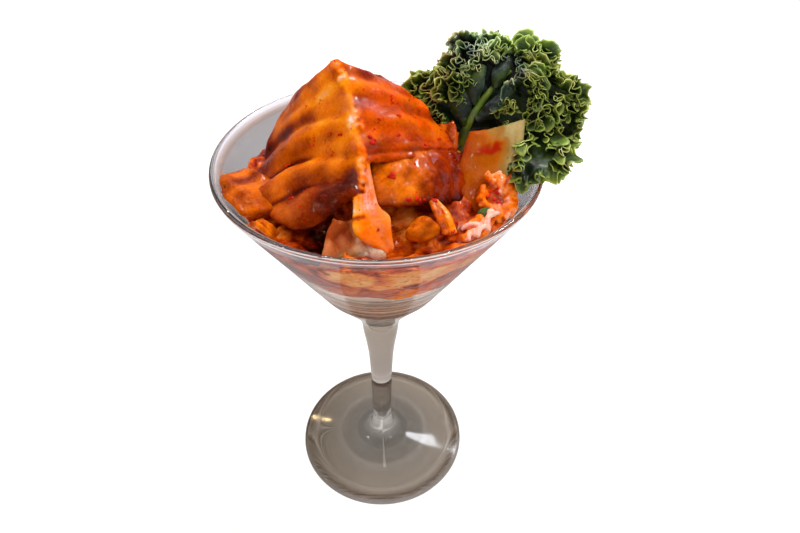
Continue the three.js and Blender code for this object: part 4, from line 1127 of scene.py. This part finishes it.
# Painted light: the leaf is toned lighter towards its right, its far left and its top. It is also toned
# darker close to the midrib.
tones = tones + 0.06 * smooth_step(4, 18, aside) + 0.06 * smooth_step(-16, -30, aside)
tones = tones + 0.1 * smooth_step(2, 16, upward) + 0.08 * waves(points, 12, 109)
tones = tones - 0.08 * smooth_step(9, 4, beside)
brown = smooth_step(-14, -24, aside) + 0.5 * smooth_step(-17, -13, -upward) * smooth_step(-20, -12, aside)
kale = make_piece("curly_kale", points, faces, tone=tones,
                  cool=np.clip(cool + 0.2 * waves(points, 5, 108), 0, 1),
                  brown=np.clip(brown * (0.7 + 0.5 * waves(points, 6, 110)), 0, 1))
put_in(kale, kale_material, "kale_leaf")


# ---- The chili flakes
# Coarse red chili flakes from the seasoning, up to 3 mm across, stuck flat on the wet leaves, with
# finer crumbs of the same between them.

FLAKE_PLACES = [  # x, y and size of the larger flakes
    (-1.2, -16.8, 1.7), (4.8, -23.6, 1.7), (5.2, 0, 0.9), (7.2, -6.2, 1.0), (0.4, -11, 0.7),
    (6.4, -11.4, 0.7), (10.8, -10.2, 0.6), (15, -9.8, 0.9), (20.4, -1.8, 0.8), (-28.2, -7.8, 0.8),
    (-19.8, -9.2, 0.7), (-14, -11.3, 0.6), (-11.5, -13.1, 0.8), (-22.5, 2, 0.5), (-13.3, -14.8, 0.4),
    (-0.2, -38.6, 0.5), (9, -28.6, 0.9), (11.6, -28, 1.1), (14, -27.2, 0.8), (16.4, -26.6, 1.2),
    (34.9, -19.6, 1.5), (36.7, -20.6, 1.2), (37.8, -18.8, 1.1), (21.8, -35.7, 0.7), (19.4, -31, 0.6),
    (-26, -23, 0.7)]
CRUMBS = 260
FLAKE_CORNERS = 9
DROP_HEIGHT = 200


def flake(place, normal, size, draw):
    """One thin curled flake lying on a surface."""
    sideways = unit(np.cross(normal, [0.3, 0.9, 0.2]))
    ahead = np.cross(normal, sideways)
    angle = all_round(FLAKE_CORNERS) + draw.uniform(0, 6)
    reach = 0.8 * size * draw.uniform(0.5, 1.2, FLAKE_CORNERS) * np.where(np.cos(angle) > 0, 1.1, 0.7)
    rim = reach[:, None] * (np.cos(angle)[:, None] * sideways + np.sin(angle)[:, None] * ahead)
    lift = 0.2 + 0.16 * size + 0.1 * draw.uniform(-1, 1, FLAKE_CORNERS)
    rings = np.stack([place + 0.95 * rim - 0.3 * normal, place + rim + 0.08 * normal,
                      place + 0.65 * rim + lift[:, None] * normal])
    return capped(rings, np.full(rings.shape[:2], draw.uniform(0.1, 0.9)))


food_pieces = [piece for piece in bpy.data.objects if piece.name in (
    "packed_kimchi", "draped_leaf", "lower_leaf", "rear_leaf", "pale_base", "leaf_on_wall", "orange_chunk",
    "small_leaf_end", "bright_strip", "shred_clump", "whitish_chunk")]
fields = [BVHTree.FromPolygons([tuple(vertex.co) for vertex in piece.data.vertices],
                               [tuple(face.vertices) for face in piece.data.polygons])
          for piece in food_pieces]
draw = np.random.default_rng(61)
spots = [(x, y, size, 3) for x, y, size in FLAKE_PLACES]
for _ in range(CRUMBS):
    angle, reach = draw.uniform(0, 2 * np.pi), 45 * math.sqrt(draw.random())
    x, y = reach * math.cos(angle), reach * math.sin(angle)
    spots.append((x, y, draw.uniform(0.16, 0.5) * (1 if x > -6 or y > -4 else 0.7), 1))
flakes = []
for x, y, size, count in spots:
    for _ in range(count):
        start = Vector((x, y, DROP_HEIGHT)) * MM
        hits = [field.ray_cast(start, Vector((0, 0, -1))) for field in fields]
        hits = [(place.z, place, normal) for place, normal, _, _ in hits if place is not None]
        if hits:
            _, place, normal = max(hits, key=lambda hit: hit[0])
            flakes.append(flake(np.array(place) * METRE, np.array(normal), size * draw.uniform(0.7, 1), draw))
        x, y = x + size * draw.uniform(-0.9, 0.9), y + size * draw.uniform(-0.9, 0.9)

flake_red, tree = new_material("chili_flake")
red = ramp(tree, mark(tree, "tone"), [(0.0, 160, 10, 0), (0.5, 206, 26, 0), (1.0, 232, 60, 2)])
principled(tree, {
    "Base Color": red, "Roughness": 0.4, "Specular IOR Level": 0.08,
    "Normal": bump(tree, noise(tree, coordinates(tree), 2200), 0.5, 0.0002), "Subsurface Weight": 0.4,
    "Subsurface Radius": (1.0, 0.2, 0.1), "Subsurface Scale": 0.001, "Coat Weight": 0.15,
    "Coat Roughness": 0.05, "Coat IOR": 1.33})

points, faces, tones = joined(flakes)
chili = make_piece("chili_flakes", points, faces, tone=tones)
chili.data.materials.append(flake_red)
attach(chili, "root")


# ---- The table, the light and the camera
# A plain pale table top under an even, soft sky. Small lamps behind, above and at both sides add
# little light, but give the wet leaves their glints.

TABLE_HALF = 3000
LAMP_AIM = Vector((0, 0, 0.14))
LAMPS = [  # name, place, size of the lit face, watts, colour
    ("key_light", (0.36, 0.38, 0.74), (0.16, 0.09), 2.8, (0.92, 0.96, 1.0)),
    ("left_lamp", (-0.5, 0.1, 0.9), (0.09, 0.09), 1.2, (1.0, 0.92, 0.84)),
    ("back_lamp", (-0.05, 0.7, 0.8), (0.1, 0.07), 1.2, (1.0, 0.94, 0.86)),
    ("right_lamp", (0.45, -0.3, 0.9), (0.08, 0.08), 1.3, (1, 1, 1)),
    ("high_lamp", (0.12, 0.1, 1.0), (0.08, 0.08), 1.1, (1, 1, 1)),
    ("warm_lamp", (-0.28, 0.57, 0.66), (0.014, 0.012), 0.16, (1.0, 0.72, 0.34)),
    ("low_warm_lamp", (0.08, 0.2, 0.87), (0.02, 0.02), 0.22, (1.0, 0.8, 0.45))]

table_paint, tree = new_material("pale_table")
paint = ramp(tree, noise(tree, coordinates(tree), 8, 3), [(0.3, 249, 249, 248), (0.7, 252, 252, 252)])
principled(tree, {"Base Color": paint, "Roughness": 0.7, "Specular IOR Level": 0.2})
table = make_piece("table_top", [[x * TABLE_HALF, y * TABLE_HALF, 0] for x, y in (
    (-1, -1), (1, -1), (1, 1), (-1, 1))], [(0, 1, 2, 3)])
table.data.materials.append(table_paint)

world = bpy.data.worlds.new("studio")
bpy.context.scene.world = world
world.use_nodes = True
tree = world.node_tree
tree.nodes.clear()
rise = node(tree, "SeparateXYZ", {"Vector": coordinates(tree, "Generated")}).outputs["Z"]
sky = ramp(tree, rise, [(0.0, 0.38, 0.37, 0.36), (0.3, 0.53, 0.52, 0.52), (0.7, 0.85), (1.0, 1.1)],
           linear_colour)
backdrop = node(tree, "Background", {"Color": sky, "Strength": 1.0})
node(tree, "OutputWorld", {"Surface": backdrop.outputs[0]})

for name, spot, size, watts, tint in LAMPS:
    lamp = bpy.data.lights.new(name, "AREA")
    lamp.shape = "RECTANGLE"
    lamp.size, lamp.size_y = size
    lamp.energy = watts
    lamp.color = tint
    soft_box = bpy.data.objects.new(name, lamp)
    soft_box.location = spot
    soft_box.rotation_euler = (LAMP_AIM - Vector(spot)).to_track_quat("-Z", "Y").to_euler()
    bpy.context.scene.collection.objects.link(soft_box)

CAMERA_PLACE = (0, -0.1876, 0.2767)
CAMERA_PITCH, CAMERA_YAW, CAMERA_ROLL = (math.radians(degrees) for degrees in (41.5, 2.4, 0.5))
camera_data = bpy.data.cameras.new("camera")
camera_data.sensor_width = 36
camera_data.lens = 29.385
camera_data.clip_start = 0.01
camera = bpy.data.objects.new("camera", camera_data)
forward = Vector((math.sin(CAMERA_YAW) * math.cos(CAMERA_PITCH),
                  math.cos(CAMERA_YAW) * math.cos(CAMERA_PITCH), -math.sin(CAMERA_PITCH)))
level = Vector((math.cos(CAMERA_YAW), -math.sin(CAMERA_YAW), 0))
upright = level.cross(forward)
right = math.cos(CAMERA_ROLL) * level + math.sin(CAMERA_ROLL) * upright
up = -math.sin(CAMERA_ROLL) * level + math.cos(CAMERA_ROLL) * upright
camera.matrix_world = Matrix([(*axes, spot) for *axes, spot in zip(right, up, -forward, CAMERA_PLACE)]
                             + [(0, 0, 0, 1)])
bpy.context.scene.collection.objects.link(camera)
bpy.context.scene.camera = camera
bpy.context.scene.view_settings.view_transform = "Standard"
